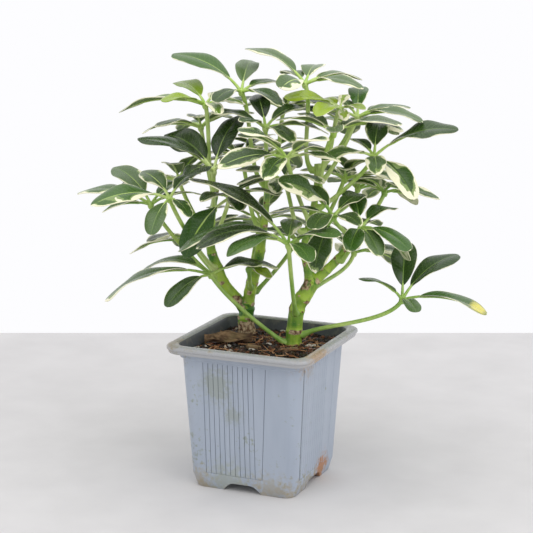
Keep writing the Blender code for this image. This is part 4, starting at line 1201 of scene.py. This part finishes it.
def grow_leaf(number, name, hub, stalk, leaflets):
    draw = random.Random(100 + number)
    stalks, blades = bmesh.new(), bmesh.new()
    blades.loops.layers.uv.new("blade")
    blades.verts.layers.float_color.new("look")
    blades.verts.layers.float.new("seed")
    blades.verts.layers.float.new("yellow")
    add_leaf_stalk(stalks, hub, *stalk)
    for index, leaflet in leaflets:
        key = (name, index)
        bend = add_blade(blades, hub, leaflet, look_of(*key, draw), ROLLS.get(key, 0), key in YELLOWED, draw)
        add_rib(stalks, hub, leaflet, bend)
    finish_piece(f"{name}_blades", thickened(f"{name}_sheet", blades, BLADE_THICKNESS, leaf_skins), IN_PLANT,
                 leaf_skins, (name,), sharp=62)
    finish_piece(f"{name}_stalk", stalks, IN_PLANT, (stalk_lime if hub.z > LIME_FROM else stalk_green,),
                 (name,))


for number, leaf in enumerate(settled):
    grow_leaf(number, *leaf)
print("leaves grown:", len(settled))

# %% [markdown]
# ## Litter on the soil
# A fallen leaf has dried and curled, roots and a chip of wood lie about, and a bit of bark. The dry leaf
# is a grid bent up at its edges and crumpled by noise. Roots are thin tubes that wander.

# %% the litter's materials
def dry_skin():
    """A dead leaf and dead wood: papery, brown to straw, streaked lengthwise and quite dull."""
    material, add, shader = new_material("dry_leaf_and_wood")
    place = add("TexCoord", out="Object")
    turned = add("Mapping", {"Vector": place, "Rotation": (0, 0, -PLANT_TURN), "Scale": (0.25, 1.0, 1.0)})
    streaks = add("TexNoise", {"Vector": turned, "Scale": every(2.0), "Detail": 4.0})
    clouds = add("TexNoise", {"Vector": place, "Scale": every(8.333), "Detail": 3.0})
    colour = "#46301f"
    for share, over in ((add("MapRange", (streaks, 0.35, 0.68)), "#ab8a66"),
                        (add("MapRange", (clouds, 0.5, 0.75, 0.0, 0.6)), "#6b6243")):
        colour = add("Mix", {0: share, 6: colour, 7: over}, 2, data_type="RGBA")
    bump = add("Bump", {"Strength": 0.6, "Distance": 0.4 * MM, "Height": streaks})
    feed(shader, {"Base Color": colour, "Roughness": 0.82, "Normal": bump})
    return material


def clouded(name, low, high, size, detail, clouds_from, clouds_to, roughness):
    """A plain matt stuff that clouds softly between two colours."""
    material, add, shader = new_material(name)
    place = add("TexCoord", out="Object")
    clouds = add("TexNoise", {"Vector": place, "Scale": every(size), "Detail": detail})
    share = add("MapRange", (clouds, clouds_from, clouds_to))
    colour = add("Mix", {0: share, 6: low, 7: high}, 2, data_type="RGBA")
    feed(shader, {"Base Color": colour, "Roughness": roughness})
    return material


dead_leaf = dry_skin()
# dead roots are wiry, red-brown to straw, and change over about 5 mm
dead_root = clouded("dry_root", "#9a5b34", "#cfa478", 5.0, 3.0, 0.35, 0.65, roughness=0.75)

# %% the curled leaf
LEAF_LENGTH, LEAF_WIDTH, LEAF_TURN = 29.0, 13.0, 8.0
LEAF_THICKNESS = 0.3


def box_in_plant(name):
    """The middle of a frame piece's box in the plant's axes, and its height, in millimetres."""
    low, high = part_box(name)
    return IN_PLANT.inverted() @ ((low + high) / 2), (high.z - low.z) / MM


middle, rise = box_in_plant("dry_leaf")
sheet = bmesh.new()
bmesh.ops.create_grid(sheet, x_segments=44, y_segments=16, size=0.5)
for vert in sheet.verts:
    along, across = vert.co.x, vert.co.y * 2
    half = LEAF_WIDTH / 2 * max(0.04, 1 - abs(2 * along) ** 1.8) ** 0.8
    curl = 4.2 * max(0.0, across) ** 2 + 1.5 * max(0.0, -across) ** 2
    crumple = 1.1 * noise.noise(Vector((along * 5, across * 1.4, 2.0))) + 0.5 * math.sin(along * 11 + across)
    vert.co = Vector((along * LEAF_LENGTH, across * half * 0.9, curl + crumple))
turn_about_z(sheet, LEAF_TURN)
lowest = min(vert.co.z for vert in sheet.verts)
bmesh.ops.translate(sheet, verts=sheet.verts, vec=(middle.x, middle.y, middle.z - rise / 2 - lowest))
dry_leaf = finish_piece("curled_dry_leaf", thickened("dry_sheet", sheet, LEAF_THICKNESS), IN_PLANT,
                        (dead_leaf,), ("dry_leaf",), sharp=62)
print(dry_leaf.name, len(dry_leaf.data.polygons), "faces")


# %% chips and roots
ROOT_BENDS = 9


def rough_chip(name, length, width, height, turn):
    """A splinter of wood: a block cut fine, its edges broken and its faces worn by noise."""
    bm = bmesh.new()
    bmesh.ops.create_cube(bm, size=1.0)
    bmesh.ops.subdivide_edges(bm, edges=bm.edges[:], cuts=7, use_grid_fill=True)
    for vert in bm.verts:
        vert.co = Vector((vert.co.x * length, vert.co.y * width, vert.co.z * height))
        vert.co += Vector((noise.noise(vert.co / 2), noise.noise(vert.co / 1.5 + Vector((5, 0, 0))),
                           noise.noise(vert.co / 1.2 + Vector((0, 8, 0))))) * height * 0.35
    smooth_once(bm)
    turn_about_z(bm, turn)
    bmesh.ops.translate(bm, verts=bm.verts, vec=box_in_plant(name)[0])
    finish_piece(f"{name}_rough", bm, IN_PLANT, (dead_leaf,), (name,), sharp=50)


def wandering_root(bm, start, turn, length, radius, draw):
    """A root that creeps over the soil in loose bends, thinning to its end."""
    place, bearing = Vector(start), math.radians(turn)
    points = [Vector((*place, radius))]
    for k in range(1, ROOT_BENDS + 1):
        bearing += draw.uniform(-0.45, 0.45)
        step = Vector((math.cos(bearing), math.sin(bearing), draw.uniform(-0.12, 0.2)))
        place += step * length / ROOT_BENDS
        points.append(Vector((*place, radius * (1 - 0.6 * k / ROOT_BENDS))))
    route = smooth_route(points, 0.8)
    tube(bm, [point.xyz for point in route], [point.w for point in route], sides=7)


rough_chip("wood_chip", 10.0, 3.5, 1.6, 12)
rough_chip("bark_bit", 8.0, 4.0, 1.8, 150)
draw = random.Random(5)
for name, length, turn in (("root_left", 15.0, 40), ("root_right", 14.0, 105)):
    middle, _ = box_in_plant(name)
    bm = bmesh.new()
    wandering_root(bm, middle - heading(turn) * length / 2, turn, length, 0.6, draw)
    finish_piece(f"{name}_wiry", bm, IN_PLANT, (dead_root,), (name,))

FINE_ROOTS, ROOT_SPREAD, ROOT_LIFT = 75, 32, 0.7
bm = bmesh.new()
for index in range(FINE_ROOTS):
    x, y = draw.uniform(-ROOT_SPREAD, ROOT_SPREAD), draw.uniform(-ROOT_SPREAD, ROOT_SPREAD)
    wandering_root(bm, (x, y, soil_height(x, y) + ROOT_LIFT), draw.uniform(0, 360), draw.uniform(5, 17),
                   draw.uniform(0.16, 0.42), draw)
finish_piece("fine_roots", bm, IN_POT, (dead_root,))
print("fine roots:", FINE_ROOTS)

# %% [markdown]
# ## Floor, backdrop and light
# The pot stands on a pale floor that ends behind it, in front of white. A wide soft light above the left
# front models the leaves, a weaker one fills from the right, and the white surroundings do the rest.

# %% floor
FLOOR_BEHIND, FLOOR_SIDE = 0.338, 2.2
bm = bmesh.new()
bmesh.ops.create_grid(bm, x_segments=1, y_segments=1, size=FLOOR_SIDE)
bmesh.ops.translate(bm, verts=bm.verts, vec=(0, FLOOR_BEHIND - FLOOR_SIDE, 0))
# pale plaster board is matt, with the faintest clouds some 40 mm across
plaster = clouded("pale_plaster", "#cecccc", "#d5d3d3", 38.46, 5.0, 0.3, 0.7, roughness=0.9)
floor = scene_object("floor", bm, Matrix.Rotation(VIEW_TURN, 4, "Z"), (plaster,))


# %% lights
def soft_light(name, place, size, power, colour):
    """A square soft light that faces the middle of the plant."""
    light = bpy.data.lights.new(name, "AREA")
    light.size, light.energy, light.color = size, power, linear(colour)[:3]
    lamp = bpy.data.objects.new(name, light)
    lamp.location = Matrix.Rotation(VIEW_TURN, 3, "Z") @ Vector(place)
    lamp.rotation_euler = (lamp.location - aim).to_track_quat("Z", "Y").to_euler()
    bpy.context.scene.collection.objects.link(lamp)


soft_light("key", (-0.1, -0.45, 1.45), 2.0, 11.0, "#fffdf8")
soft_light("fill", (0.9, -0.9, 0.8), 1.2, 5.0, "#fbfbff")
print("lights:", [light.name for light in bpy.data.lights])

# %% the white surroundings, a little greyer in front
world = bpy.data.worlds.new("studio")
bpy.context.scene.world = world
world.use_nodes = True
add = partial(add_node, world.node_tree)
away = (-math.sin(VIEW_TURN), math.cos(VIEW_TURN), 0.0)
towards = add("VectorMath", (add("TexCoord", out="Generated"), away), "Value", operation="DOT_PRODUCT")
share = add("MapRange", (towards, -0.35, 0.45))
light = add("Mix", {0: share, 6: "#dcdee2", 7: "#fdfdff"}, 2, data_type="RGBA")
feed(world.node_tree.nodes["Background"], {"Color": light, "Strength": 1.0})
bpy.context.scene.view_settings.view_transform = "Standard"
